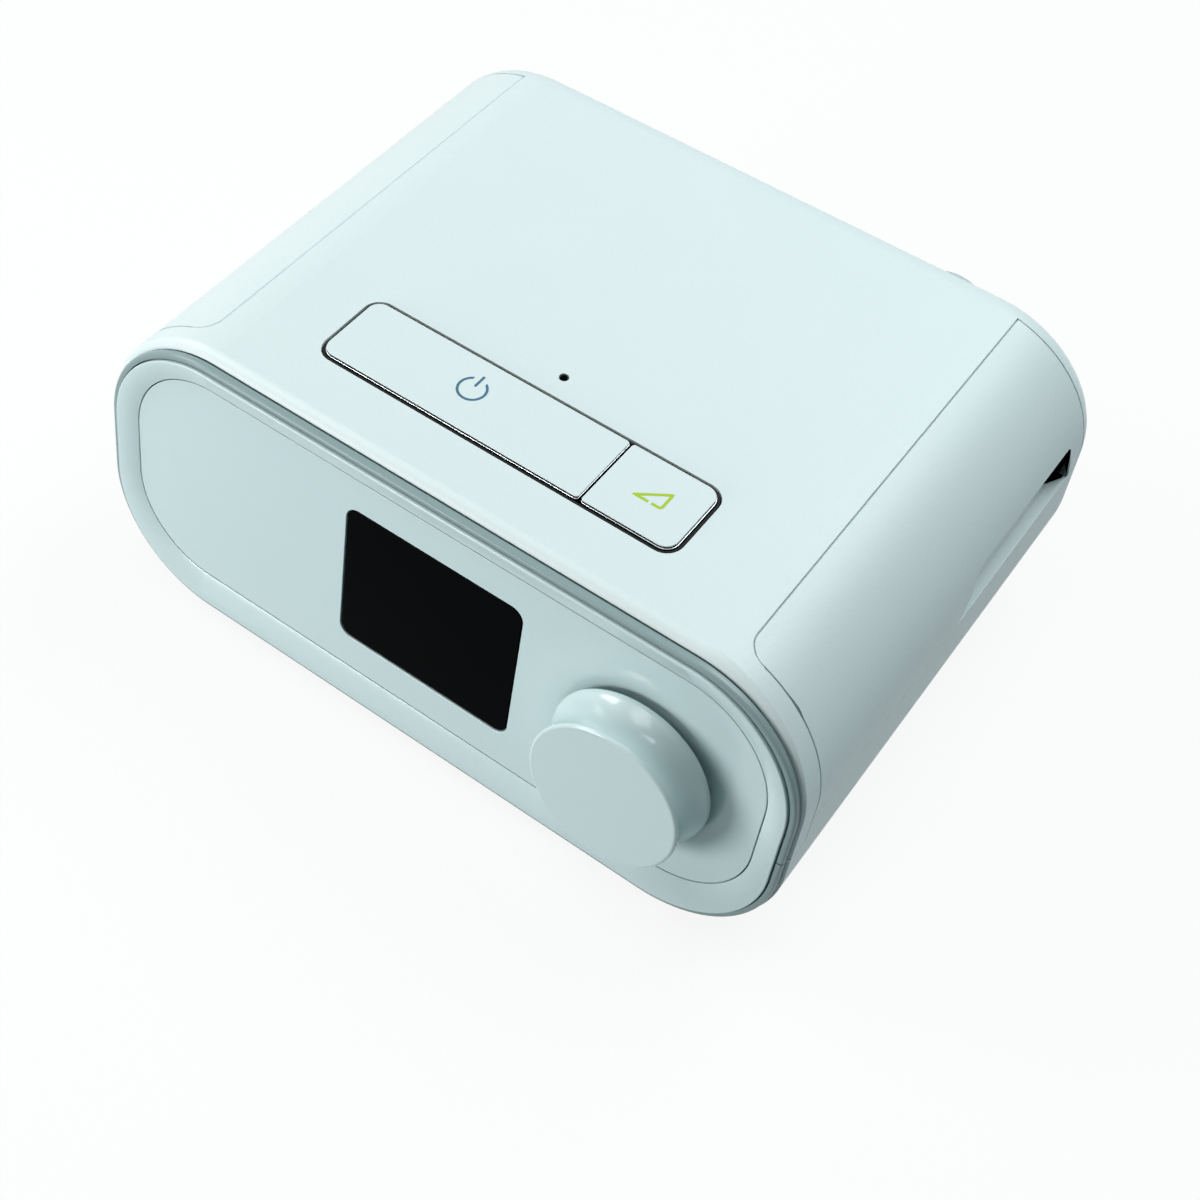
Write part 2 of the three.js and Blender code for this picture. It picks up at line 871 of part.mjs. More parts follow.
function dialShaft() {
  const front = 2 * dialSkin - dialProjection + seatGap;
  return leaned(rodY(shaftRadius, dialX, dialHeight, front, encoderFront + 2 * dialTravel));
}

function dialPlunger() {
  const front = dialHubEnd + seatGap;
  const ring = rodY(plungerRadius, dialX, dialHeight, front, front + plungerLength);
  const bore = rodY(shaftRadius + seatGap, dialX, dialHeight, 0, crossDepth);
  return leaned(cut(ring, bore));
}

function encoderBody() {
  const half = encoderSize / 2;
  const back = frontBoardDepth - seatGap;
  const can = box(dialX - half, encoderFront, dialHeight - half, dialX + half, back, dialHeight + half);
  const bore = rodY(shaftRadius + seatGap, dialX, dialHeight, 0, back - wall / 2);
  return leaned(cut(can, bore));
}

// Top buttons
function buttonTray() {
  const outer = prismZ(buttonOpening(seatGap), pocketFloor - trayFloor, trayTop, filletSteps);
  const under = housingTop - wall - seatGap;
  const flange = prismZ(buttonOpening(-trayFlange), under - trayFloor, under, filletSteps);
  const pocket = prismZ(buttonOpening(seatGap + trayWall), pocketFloor, housingTop + overrun, filletSteps);
  const posts = [];
  const holes = [];
  for (const x of [powerX(), rampX()]) {
    holes.push(rodZ(stemRadius + seatGap, x, buttonY(), stemBottom - overrun, housingTop, smallSteps));
  }
  for (const x of [buttonLeft + 2 * buttonRadius, buttonDivide - 2 * buttonRadius]) {
    posts.push(rodZ(
      stemRadius,
      x,
      buttonY(),
      buttonBoardTop + seatGap,
      pocketFloor - trayFloor / 2,
      smallSteps,
    ));
  }
  return cut(join(outer, flange), pocket, ...holes).add(posts[0]).add(posts[1]);
}

function buttonY() {
  return (buttonFront + buttonBack) / 2;
}

function powerX() {
  return (buttonLeft + buttonDivide) / 2;
}

function rampX() {
  return (buttonDivide + buttonRight) / 2;
}

// The outline of one button: rounded at its free corners and square along the divide
function buttonOutline(right, grow) {
  const inset = seatGap + trayWall + buttonGap - grow;
  const left = right ? buttonDivide + buttonGap - grow : buttonLeft + inset;
  const end = right ? buttonRight - inset : buttonDivide - buttonGap + grow;
  const front = buttonFront + inset;
  const back = buttonBack - inset;
  const radius = buttonRadius - inset;
  const square = radius * squareCornerShare;
  const [leftRadius, rightRadius] = right ? [square, radius] : [radius, square];
  const shape = new THREE.Shape();
  shape.moveTo(left + leftRadius, front);
  shape.lineTo(end - rightRadius, front);
  shape.absarc(end - rightRadius, front + rightRadius, rightRadius, -Math.PI / 2, 0, false);
  shape.lineTo(end, back - rightRadius);
  shape.absarc(end - rightRadius, back - rightRadius, rightRadius, 0, Math.PI / 2, false);
  shape.lineTo(left + leftRadius, back);
  shape.absarc(left + leftRadius, back - leftRadius, leftRadius, Math.PI / 2, Math.PI, false);
  shape.lineTo(left, front + leftRadius);
  shape.absarc(left + leftRadius, front + leftRadius, leftRadius, Math.PI, (Math.PI * 3) / 2, false);
  return shape;
}

function buttonCap(right) {
  return prismZ(buttonOutline(right, 0), capBottom, capTop, filletSteps);
}

function buttonTrim(right) {
  const plate = prismZ(buttonOutline(right, buttonTrimLip), trimBottom, trimTop, filletSteps);
  const x = right ? rampX() : powerX();
  return join(plate, rodZ(stemRadius, x, buttonY(), stemBottom, trimBottom + seatGap, smallSteps));
}

function switchPlunger(x) {
  return rodZ(
    plungerStemRadius,
    x,
    buttonY(),
    switchPlungerTop - plungerStemLength,
    switchPlungerTop,
    smallSteps,
  );
}

function tactSwitch(x) {
  const half = switchSize / 2;
  const can = box(x - half, buttonY() - half, switchBottom, x + half, buttonY() + half, switchTop);
  const bore = rodZ(
    plungerStemRadius + seatGap,
    x,
    buttonY(),
    switchBottom + switchFloor / 2,
    switchTop + overrun,
    smallSteps,
  );
  return cut(can, bore);
}

function buttonBoard() {
  const inset = buttonRadius;
  return prismZ(buttonOpening(inset / 2), buttonBoardTop - boardThickness, buttonBoardTop, 2);
}

function sensorWindow() {
  const under = housingTop - wall - seatGap;
  const stem = rodZ(sensorRadius, 0, sensorY, under - sensorFlangeThickness, housingTop, smallSteps);
  const flange = rodZ(sensorFlange, 0, sensorY, under - sensorFlangeThickness, under, smallSteps);
  return join(stem, flange);
}

// Doors
function doorRib(y) {
  const centre = new THREE.Vector2(housingHalfWidth - upperCornerRadius, housingTop - upperCornerRadius);
  const reach = upperCornerRadius - wall / 2;
  const towards = (angle) => [centre.x + reach * Math.sin(angle), centre.y + reach * Math.cos(angle)];
  const lean = Math.atan2(pivotX - centre.x, pivotZ - centre.y);
  const arm = polygon(
    [pivotX - eyeRadius, pivotZ],
    [pivotX + eyeRadius / 2, pivotZ - eyeRadius * ribHeelShare],
    towards(lean + ribSpread),
    towards(lean - ribSpread / 2),
  );
  const low = y - ribThickness / 2;
  const high = y + ribThickness / 2;
  const eye = rodY(eyeRadius, pivotX, pivotZ, low, high, roundSteps);
  return join(prismY(arm, low, high), eye);
}

function doorShell(notched) {
  const skin = cut(roundedBody(0), roundedBody(wall)).intersect(doorSpace(-seamGap / 2));
  const bore = rodY(pinRadius + seatGap, pivotX, pivotZ, 0, housingBack, smallSteps);
  const ribs = [doorRib(frontRibY), doorRib(rearRibY)].map((rib) => rib.intersect(roundedBody(wall / 2)));
  const swingY = faceY(doorFaceDepth + seamGap / 2, pivotZ + swingRadius);
  const swing = rodY(swingRadius, pivotX, pivotZ, 0, swingY, fineSteps);
  const door = cut(join(skin, ...ribs), bore, swing);
  if (!notched) return door;
  const notch = polygon(
    [notchFront, sidePartingHeight - overrun],
    [notchBack, sidePartingHeight - overrun],
    [notchBack, sidePartingHeight + notchHeight - notchSlant],
    [notchBack - notchSlant, sidePartingHeight + notchHeight],
    [notchFront + notchSlant, sidePartingHeight + notchHeight],
    [notchFront, sidePartingHeight + notchHeight - notchSlant],
  );
  return cut(door, prismX(notch, frameHalfWidth, wayOut));
}

function hingePin(front) {
  const ribY = front ? frontRibY + ribThickness : rearRibY + pinLength - seatGap;
  const start = ribY - ribThickness / 2 - pinLength;
  return rodY(pinRadius, pivotX, pivotZ, start, start + pinLength, smallSteps);
}

// The frame inside: side walls, a cross wall behind the screen, hinge ears, shelves and screw posts
function hingeEar() {
  const arm = polygon(
    [pivotX + eyeRadius, pivotZ],
    [pivotX - eyeRadius, pivotZ],
    [pivotX - earReach, pivotZ - earReach],
    [frameHalfWidth - frameWall / 2, pivotZ - earReach - seatGap],
    [frameHalfWidth - frameWall / 2, pivotZ - earReach - earDrop],
    [pivotX + eyeRadius, pivotZ - earDrop],
  );
  return (low, high) => join(prismY(arm, low, high), rodY(eyeRadius, pivotX, pivotZ, low, high, roundSteps));
}

function innerFrame() {
  const inner = frameHalfWidth - frameWall;
  const bodyInside = roundedBody(wall + 2 * seatGap);
  const frontEar = frontRibY - ribThickness / 2 - seatGap;
  const rearEar = rearRibY + ribThickness / 2 + seatGap;
  const shelfBack = notchFront - overrun - seatGap;
  const ear = hingeEar();
  const half = join(
    box(inner, 0, bossTop + seatGap, frameHalfWidth, frameBack, frameTop).intersect(behindFace(frameFront)),
    ear(frontEar - ribThickness, frontEar),
    ear(rearEar, rearEar + ribThickness),
    box(inner, frontEar, shelfHeight, frameHalfWidth + shelfReach, shelfBack, shelfHeight + wall / 2),
    ...[postFrontY, postRearY].map((y) => rodZ(
      postRadius,
      postX,
      y,
      bossTop + seatGap,
      postTop,
      smallSteps,
    )),
  );
  const cross = leaned(box(
    -inner - frameWall / 2,
    crossDepth,
    crossBottom,
    inner + frameWall / 2,
    crossDepth + frameWall,
    crossTop,
  ));
  const tie = box(
    -inner - frameWall / 2,
    frameBack - 2 * frameWall,
    frameTop - tieHeight,
    inner + frameWall / 2,
    frameBack - frameWall,
    frameTop,
  );
  const pinBore = rodY(pinRadius + seatGap, pivotX, pivotZ, 0, housingBack, smallSteps);
  const shanks = [postFrontY, postRearY].map((y) =>
    rodZ(screwShankRadius + seatGap, postX, y, 0, screwSeat + screwLength + overrun, smallSteps),
  );
  const frame = join(half, mirrored(half), cross, tie).intersect(bodyInside);
  const tools = [pinBore, mirrored(pinBore), ...shanks, ...shanks.map(mirrored)];
  tools.push(filterOpening(), cardOpening(), coverOpening());
  return cut(frame, ...tools);
}

function filterOpening() {
  const rim = 2 * filterFrameWall;
  return box(
    frameHalfWidth - frameWall - overrun,
    filterFront + rim,
    filterBottom + rim,
    frameHalfWidth + overrun,
    filterBack - rim,
    filterTop - rim,
  );
}

function filterFrame() {
  const left = frameHalfWidth + seatGap;
  const right = left + filterFrameDepth;
  const rim = filterFrameWall;
  const outer = prismX(
    roundedRectangle(filterFront, filterBottom, filterBack, filterTop, rim),
    left,
    right,
    2,
  );
  const pocket = box(
    left + rim / 2,
    filterFront + rim,
    filterBottom + rim,
    right + overrun,
    filterBack - rim,
    filterTop - rim,
  );
  const lip = rim * filterLipShare;
  const through = box(
    left - overrun,
    filterFront + lip,
    filterBottom + lip,
    right,
    filterBack - lip,
    filterTop - lip,
  );
  return cut(outer, pocket, through);
}

function pollenFilter() {
  const inset = filterFrameWall + seatGap;
  const left = frameHalfWidth + 2 * seatGap + filterFrameWall / 2;
  const right = left + pollenThickness;
  const low = filterBottom + inset;
  const high = filterTop - inset;
  const pad = box(left, filterFront + inset, low, right, filterBack - inset, high);
  const pitch = (filterBack - filterFront) / (filterRibs + 1);
  const slots = [];
  for (let i = 1; i <= filterRibs; i += 1) {
    const y = filterFront + pitch * i;
    const half = (pitch * filterSlotShare) / 2;
    slots.push(box(
      right - pollenThickness / 2,
      y - half,
      low + inset,
      right + overrun,
      y + half,
      high - inset,
    ));
  }
  return cut(pad, ...slots);
}

// The sloping floor of the air notch, with the opening that the air goes in by
function inletScoop() {
  const low = sidePartingHeight - wall;
  const outerX = housingHalfWidth - wall - seatGap;
  const innerX = outerX - scoopRun;
  const top = sidePartingHeight + scoopRise;
  const slope = polygon(
    [outerX, low],
    [outerX, sidePartingHeight],
    [innerX, top],
    [innerX - scoopThickness, top],
    [innerX - scoopThickness, top - scoopThickness],
    [outerX - 2 * scoopThickness, low],
  );
  const foot = polygon(
    [frameHalfWidth + filterFrameDepth + 2 * seatGap, low],
    [frameHalfWidth + filterFrameDepth + 2 * seatGap, low + scoopThickness],
    [outerX - scoopThickness, low + scoopThickness],
    [outerX - scoopThickness, low],
  );
  const front = notchFront - overrun;
  const back = notchBack + overrun;
  const sheet = join(prismY(slope, front, back), prismY(foot, front, back));
  const mouth = box(
    innerX - 2 * scoopThickness,
    notchBack - scoopRise,
    sidePartingHeight + wall,
    outerX,
    notchBack - wall,
    top - wall,
  );
  return cut(sheet, mouth);
}

// Left bay
function cardOpening() {
  const half = cardWidth / 2 + socketWall + 2 * seatGap;
  const rise = cardThickness / 2 + socketWall + 2 * seatGap;
  const x = -frameHalfWidth;
  return box(
    x - overrun,
    cardY - half,
    cardHeight - rise,
    x + frameWall + overrun,
    cardY + half,
    cardHeight + rise,
  );
}

function cardEnd() {
  return -frameHalfWidth - cardLength / 2 - cardProud;
}

function memoryCard() {
  const x = cardEnd();
  const half = cardWidth / 2;
  const chamfer = 4 * cardThickness / 2;
  const outline = polygon(
    [x, cardY - half],
    [x + cardLength - chamfer, cardY - half],
    [x + cardLength, cardY - half + chamfer],
    [x + cardLength, cardY + half],
    [x, cardY + half],
  );
  return prismZ(outline, cardHeight - cardThickness / 2, cardHeight + cardThickness / 2);
}

function cardSocket() {
  const x = cardEnd() + cardProud;
  const halfIn = cardWidth / 2 + seatGap;
  const riseIn = cardThickness / 2 + seatGap;
  const halfOut = halfIn + socketWall - seatGap;
  const riseOut = riseIn + socketWall - seatGap;
  const far = x + socketLength;
  const can = box(x, cardY - halfOut, cardHeight - riseOut, far, cardY + halfOut, cardHeight + riseOut);
  return cut(can, box(
    x - overrun,
    cardY - halfIn,
    cardHeight - riseIn,
    far - socketWall + seatGap,
    cardY + halfIn,
    cardHeight + riseIn,
  ));
}

function coverOpening() {
  const x = -frameHalfWidth;
  const rim = coverThickness;
  return box(
    x - overrun,
    coverFront + rim,
    coverBottom + rim,
    x + frameWall + overrun,
    coverBack - rim,
    coverTop - rim,
  );
}

function accessoryCover() {
  const right = -frameHalfWidth - seatGap;
  const left = right - coverThickness;
  const plate = prismX(
    roundedRectangle(coverFront, coverBottom, coverBack, coverTop, coverThickness),
    left,
    right,
    3,
  );
  const rim = 2 * coverThickness;
  const middle = (coverFront + coverBack) / 2;
  const grip = box(
    left - coverGripDepth / 2,
    middle - coverGripDepth,
    coverTop - rim,
    left + seatGap,
    middle + coverGripDepth,
    coverTop - coverThickness,
  );
  const plug = box(
    right - seatGap,
    coverFront + rim,
    coverBottom + rim,
    right + frameWall,
    coverBack - rim,
    coverTop - rim,
  );
  return join(plate, grip, plug);
}

// Blower
function spoutX() {
  return blowerX + spoutOffset;
}

function spoutEnd() {
  return blowerY + spoutLength;
}

function voluteBody() {
  const drum = rodZ(voluteRadius, blowerX, blowerY, voluteBottom, voluteTop, fineSteps);
  const spout = rodY(pipeRadius, spoutX(), voluteSplit, blowerY, spoutEnd());
  const room = rodZ(
    voluteRadius - voluteWall,
    blowerX,
    blowerY,
    voluteBottom + voluteWall,
    voluteTop - voluteWall,
    fineSteps,
  );
  const bore = rodY(pipeBore, spoutX(), voluteSplit, blowerY, spoutEnd() + overrun);
  return { whole: join(drum, spout), hollow: join(room, bore) };
}

function blowerBase() {
  const { whole, hollow } = voluteBody();
  const low = box(-wayOut, 0, 0, wayOut, housingBack, voluteSplit - seatGap / 2);
  const cupOuter = statorOuter + seatGap + motorCupWall;
  const cup = rodZ(cupOuter, blowerX, blowerY, motorCupBottom, voluteBottom + voluteWall / 2, roundSteps);
  const inside = rodZ(
    statorOuter + seatGap,
    blowerX,
    blowerY,
    motorCupBottom + motorCupWall,
    voluteBottom,
    roundSteps,
  );
  const bearing = rodZ(
    bearingRadius + seatGap,
    blowerX,
    blowerY,
    voluteBottom - overrun,
    voluteTop,
    roundSteps,
  );
  const floor = motorCupBottom + motorCupWall;
  const sleeve = rodZ(bearingRadius, blowerX, blowerY, floor - seatGap, floor + bearingHeight, roundSteps);
  const shaft = rodZ(motorShaftRadius + seatGap, blowerX, blowerY, floor, voluteBottom, smallSteps);
  return cut(join(cut(join(cut(whole.intersect(low), hollow), cup), inside, bearing), sleeve), shaft);
}

function blowerCover() {
  const { whole, hollow } = voluteBody();
  const high = box(-wayOut, 0, voluteSplit + seatGap / 2, wayOut, housingBack, housingTop);
  const rim = rodZ(
    inletRadius + inletRim,
    blowerX,
    blowerY,
    voluteTop - voluteWall / 2,
    voluteTop + inletHeight,
    roundSteps,
  );
  const eye = rodZ(
    inletRadius,
    blowerX,
    blowerY,
    voluteTop - voluteWall - overrun,
    voluteTop + inletHeight + overrun,
    roundSteps,
  );
  return cut(join(cut(whole.intersect(high), hollow), rim), eye);
}

function impeller() {
  const top = impellerBottom + impellerDisc;
  const hub = turnedZ(
    [
      [0, impellerBottom],
      [impellerRadius, impellerBottom],
      [impellerRadius, top],
      [bladeInner, top + impellerDisc],
      [hubRadius, top + bladeHeight / 2],
      [hubRadius / 2, top + bladeHeight - impellerDisc],
      [0, top + bladeHeight - impellerDisc],
    ],
    blowerX,
    blowerY,
    fineSteps,
  );
  const blades = [];
  for (let i = 0; i < bladeCount; i += 1) {
    blades.push(impellerBlade((Math.PI * 2 * i) / bladeCount, top));
  }
  const bore = rodZ(
    motorShaftRadius + seatGap,
    blowerX,
    blowerY,
    0,
    top + bladeHeight / 2 + impellerDisc,
    smallSteps,
  );
  return cut(join(hub, ...blades), bore);
}

function impellerBlade(start, bottom) {
  const edge = (side) => {
    const points = [];
    for (let i = 0; i <= bladeSteps; i += 1) {
      const share = i / bladeSteps;
      const radius = bladeInner - seatGap + (impellerRadius - seatGap - bladeInner) * share;
      const angle = start - bladeSweep * share + (side * bladeThickness) / 2 / radius;
      points.push([blowerX + radius * Math.cos(angle), blowerY + radius * Math.sin(angle)]);
    }
    return points;
  };
  const outline = polygon(...edge(-1), ...edge(1).reverse());
  return prismZ(outline, bottom - impellerDisc / 2, bottom + bladeHeight);
}

function motorShaft() {
  return rodZ(
    motorShaftRadius,
    blowerX,
    blowerY,
    motorShaftBottom,
    impellerBottom + impellerDisc + bladeHeight / 2,
    smallSteps,
  );
}

function ringZ(inner, outer, low, high, steps = roundSteps) {
  const bore = rodZ(inner, blowerX, blowerY, low - overrun, high + overrun, steps);
  return cut(rodZ(outer, blowerX, blowerY, low, high, steps), bore);
}

function motorStator() {
  const ring = ringZ(statorInner, statorOuter, rotorBottom - seatGap, rotorTop + seatGap, fineSteps);
  const slots = [];
  for (let i = 0; i < statorTeeth; i += 1) {
    const slot = new THREE.BoxGeometry(
      statorSlotDepth,
      statorSlotDepth / 2,
      rotorTop - rotorBottom + 2 * overrun,
    );
    slot.translate(statorInner + statorSlotDepth / 2 - seatGap, 0, (rotorTop + rotorBottom) / 2);
    slot.rotateZ((Math.PI * 2 * (i + 0.5)) / statorTeeth);
    slots.push(solidOf(slot.translate(blowerX, blowerY, 0)));
  }
  const seat = ringZ(
    statorOuter - motorCupWall,
    statorOuter,
    motorCupBottom + motorCupWall + seatGap,
    rotorBottom,
    fineSteps,
  );
  return join(cut(ring, ...slots), seat);
}

function motorRotor() {
  return ringZ(motorShaftRadius + seatGap, rotorRadius, rotorBottom, rotorTop);
}

function motorBearing() {
  const low = voluteBottom - bearingHeight / 2;
  return ringZ(motorShaftRadius + seatGap, bearingRadius, low, low + bearingHeight, roundSteps);
}

function blowerDamper() {
  return ringZ(damperInner, damperOuter, housingBottom + wall + seatGap, motorCupBottom - seatGap);
}

function silencerFoam() {
  const right = frameHalfWidth - frameWall - seatGap;
  const floor = housingBottom + wall + seatGap;
  const block = box(foamLeft, foamFront, floor, right, foamBack - foamChannel / 2, foamTop);
  const middle = (foamFront + foamBack) / 2;
  const channel = box(
    foamLeft - overrun,
    middle - foamChannel / 2,
    foamTop - foamChannel,
    right + overrun,
    middle + foamChannel / 2,
    foamTop + overrun,
  );
  const boss = rodZ(postRadius + seatGap, postX, postRearY, 0, foamTop + overrun, smallSteps);
  return cut(block, channel, boss);
}

// Outlet duct and port
function outletDuct() {
  const start = new THREE.Vector3(spoutX(), spoutEnd() - ductOverlap, voluteSplit);
  const end = new THREE.Vector3(portX, portInner + ductOverlap, portZ);
  const bend = (end.y - start.y) / 2;
  const path = new THREE.CubicBezierCurve3(
    start,
    start.clone().add(new THREE.Vector3(0, bend, 0)),
    end.clone().add(new THREE.Vector3(0, -bend, 0)),
    end,
  );
  const ring = new THREE.Shape().absarc(0, 0, pipeRadius + seatGap + ductWall, 0, Math.PI * 2, false);
  ring.holes.push(new THREE.Path().absarc(0, 0, pipeRadius + seatGap, 0, Math.PI * 2, true));
  const tube = new THREE.ExtrudeGeometry(
    ring,
    { steps: cornerSteps, extrudePath: path, curveSegments: cornerSteps },
  );
  const clear = rodY(
    pipeRadius + seatGap,
    spoutX(),
    voluteSplit,
    spoutEnd() - 2 * ductOverlap,
    spoutEnd() + seatGap,
  );
  const far = rodY(pipeRadius + seatGap, portX, portZ, portInner - seatGap, portInner + 2 * ductOverlap);
  return cut(solidOf(tube), clear, far);
}

function airOutletPort() {
  const collarFront = housingBack - rearPanelRecess + seatGap;
  const tube = rodY(pipeRadius, portX, portZ, portInner, portEnd);
  const half = collarSize / 2;
  const collar = prismY(
    roundedRectangle(portX - half, portZ - half, portX + half, portZ + half, collarRadius),
    collarFront,
    collarFront + collarThickness,
    filletSteps,
  );
  return cut(join(tube, collar), rodY(portBore, portX, portZ, portInner - overrun, portEnd + overrun));
}

function powerInlet() {
  const back = housingBack - rearPanelRecess;
  const front = back - rearPanelThickness - seatGap;
  const half = jackBody / 2;
  const shroud = rodY(jackRadius, jackX, jackZ, front - overrun, back + seatGap);
  const body = box(jackX - half, front - jackLength, jackZ - half, jackX + half, front, jackZ + half);
  const bore = rodY(jackBore, jackX, jackZ, back - jackBoreDepth, back + overrun);
  const contact = rodY(jackBore / 3, jackX, jackZ, back - jackBoreDepth - jackBore, back, smallSteps);
  return cut(join(body, shroud), bore, contact);
}

function humidifierConnector() {
  const back = housingBack - rearPanelRecess;
  const front = back - linkLength;
  const half = linkHalfWidth;
  const rise = linkHeight / 2;
  const shell = box(-half, front, linkZ - rise, half, back, linkZ + rise);
  const flangeBack = back - rearPanelThickness - seatGap;
  const flange = box(
    -half - linkWall,
    flangeBack - linkWall,
    linkZ - rise - linkWall,
    half + linkWall,
    flangeBack,
    linkZ + rise + linkWall,
  );
  const socket = box(
    linkWall - half,
    back - linkDepth,
    linkZ - rise + linkWall,
    half - linkWall,
    back + overrun,
    linkZ + rise - linkWall,
  );
  return cut(join(shell, flange), socket);
}

// Electronics
function mainBoard() {
  const top = boardHeight + boardThickness;
  const board = box(boardLeft, boardFront, boardHeight, boardRight, boardBack, top);
  const middle = (boardLeft + boardRight) / 2;
  const along = (share) => boardFront + (boardBack - boardFront) * share;
  const under = top - boardThickness / 2;
  const parts = [-1, 1].map((side) =>
    rodZ(
      capacitorRadius,
      middle + (side * capacitorPitch) / 2,
      along(capacitorShare),
      under,
      top + capacitorHeight,
      smallSteps,
    ),
  );
  const chip = (x, y, size, height) => box(
    x - size / 2,
    y - size / 2,
    under,
    x + size / 2,
    y + size / 2,
    top + height,
  );
  parts.push(chip(middle, along(chipShare), chipSize, chipHeight));
  parts.push(chip(middle, along(inductorShare), inductorSize, inductorHeight));
  const sensorBack = boardBack - pressureSize;
  parts.push(chip(middle, sensorBack, pressureSize, pressureHeight));
  for (const side of [-1, 1]) {
    const x = middle + (side * pressureSize) / 4;
    parts.push(rodZ(nozzleRadius, x, sensorBack, top, top + pressureHeight + nozzleHeight, smallSteps));
  }
  return join(board, ...parts);
}

// Feet and screws
function rubberFoot(x, y) {
  const top = housingBottom + footRecess;
  const profile = [
    [0, 0],
    [footRadius - footRecess, 0],
    [footRadius, footRecess],
    [footRadius, top],
    [0, top],
  ];
  return turnedZ(profile, x, y, roundSteps);
}

function housingScrew(x, y) {
  const head = rodZ(screwHeadRadius, x, y, screwSeat, screwSeat + screwHeadHeight, smallSteps);
  const shank = rodZ(
    screwShankRadius,
    x,
    y,
    screwSeat + screwHeadHeight / 2,
    screwSeat + screwLength,
    smallSteps,
  );
  const slot = screwHeadRadius * screwDriveShare;
  const drive = [
    box(
      x - slot,
      y - slot / 4,
      screwSeat - overrun,
      x + slot,
      y + slot / 4,
      screwSeat + screwHeadHeight / 2,
    ),
    box(
      x - slot / 4,
      y - slot,
      screwSeat - overrun,
      x + slot / 4,
      y + slot,
      screwSeat + screwHeadHeight / 2,
    ),
  ];
  return cut(join(head, shank), ...drive);
}

// Materials
function finish(color, roughness, metalness = 0) {
  return new THREE.MeshStandardMaterial({ color, roughness, metalness });
}

const whiteCase = finish(0xdde9e8, 0.5);
const whiteGloss = finish(0xd2e0e1, 0.15);
const greyTrim = finish(0x6f7f7d, 0.45);
const blackGloss = finish(0x050607, 0.08);
const blackPlastic = finish(0x15181a, 0.5);
const chrome = finish(0xb9bfc2, 0.15, 1);
const greyPlastic = finish(0x8f989b, 0.55);
const bluePad = finish(0x3f6fae, 0.95);
const foam = finish(0x2b2d30, 1);
const circuit = finish(0x1d6b45, 0.5);
const steel = finish(0xa6acb0, 0.3, 1);
const copper = finish(0xb5713d, 0.4, 1);
const rubber = finish(0x33373a, 0.9);
const silicone = finish(0xb8c0c2, 0.7);

const machine = new THREE.Group();
machine.position.y = -middleY;

function piece(name, solid, material) {
  const mesh = new THREE.Mesh(geometryOf(solid), material);
  mesh.name = name;
  machine.add(mesh);
}

// Shell
piece('upper_housing', upperHousing(), whiteCase);
piece('lower_housing', lowerHousing(), whiteCase);
piece('rear_panel', rearPanel(), greyPlastic);
piece('upper_trim_band', trimHalf(true), greyTrim);
piece('lower_trim_band', trimHalf(false), greyTrim);
piece('front_bezel', frontBezel(), whiteGloss);
piece('front_panel', frontPanel(), whiteGloss);
piece('display_window', displayWindow(), blackGloss);
piece('display_module', displayModule(), steel);
piece('front_board', frontBoard(), circuit);

// Dial
piece('control_dial', controlDial(), whiteGloss);
piece('dial_shaft', dialShaft(), steel);
piece('dial_plunger', dialPlunger(), blackPlastic);
piece('encoder_body', encoderBody(), blackPlastic);

// Buttons
piece('button_tray', buttonTray(), blackPlastic);
piece('power_button', buttonCap(false), whiteCase);
piece('power_button_trim', buttonTrim(false), chrome);
piece('ramp_button', buttonCap(true), whiteCase);
piece('ramp_button_trim', buttonTrim(true), chrome);
piece('power_switch_plunger', switchPlunger(powerX()), blackPlastic);
piece('ramp_switch_plunger', switchPlunger(rampX()), blackPlastic);
piece('power_switch', tactSwitch(powerX()), steel);
piece('ramp_switch', tactSwitch(rampX()), steel);
piece('button_board', buttonBoard(), circuit);
piece('light_sensor_window', sensorWindow(), blackGloss);

// Doors and hinge pins
piece('filter_door', doorShell(true), whiteCase);
piece('accessory_door', mirrored(doorShell(false)), whiteCase);
piece('filter_door_front_pin', hingePin(true), steel);
piece('filter_door_rear_pin', hingePin(false), steel);
piece('accessory_door_front_pin', mirrored(hingePin(true)), steel);
piece('accessory_door_rear_pin', mirrored(hingePin(false)), steel);
piece('inner_frame', innerFrame(), greyPlastic);

// Filters
piece('filter_frame', filterFrame(), greyPlastic);
piece('pollen_filter', pollenFilter(), bluePad);
piece('inlet_scoop', inletScoop(), whiteCase);

// Left bay
piece('memory_card', memoryCard(), blackPlastic);
piece('card_socket', cardSocket(), steel);
piece('accessory_cover', accessoryCover(), greyPlastic);

// Blower and air path
piece('blower_base', blowerBase(), greyPlastic);
piece('blower_cover', blowerCover(), greyPlastic);
piece('impeller', impeller(), whiteCase);
piece('motor_shaft', motorShaft(), steel);
piece('motor_rotor', motorRotor(), rubber);
piece('motor_stator', motorStator(), copper);
piece('motor_bearing', motorBearing(), steel);
piece('blower_damper', blowerDamper(), silicone);
piece('silencer_foam', silencerFoam(), foam);
piece('outlet_duct', outletDuct(), silicone);
piece('air_outlet_port', airOutletPort(), greyPlastic);

// Sockets and boards
piece('power_inlet', powerInlet(), blackPlastic);
piece('humidifier_connector', humidifierConnector(), blackPlastic);
piece('main_board', mainBoard(), circuit);

// Feet and screws
const sides = { left: -1, right: 1 };
for (const [name, side] of Object.entries(sides)) {
  piece('front_' + name + '_foot', rubberFoot(side * footX, footFrontY), rubber);
  piece('rear_' + name + '_foot', rubberFoot(side * footX, footRearY), rubber);
  piece('front_' + name + '_screw', housingScrew(side * postX, postFrontY), steel);
  piece('rear_' + name + '_screw', housingScrew(side * postX, postRearY), steel);
}

export default machine;
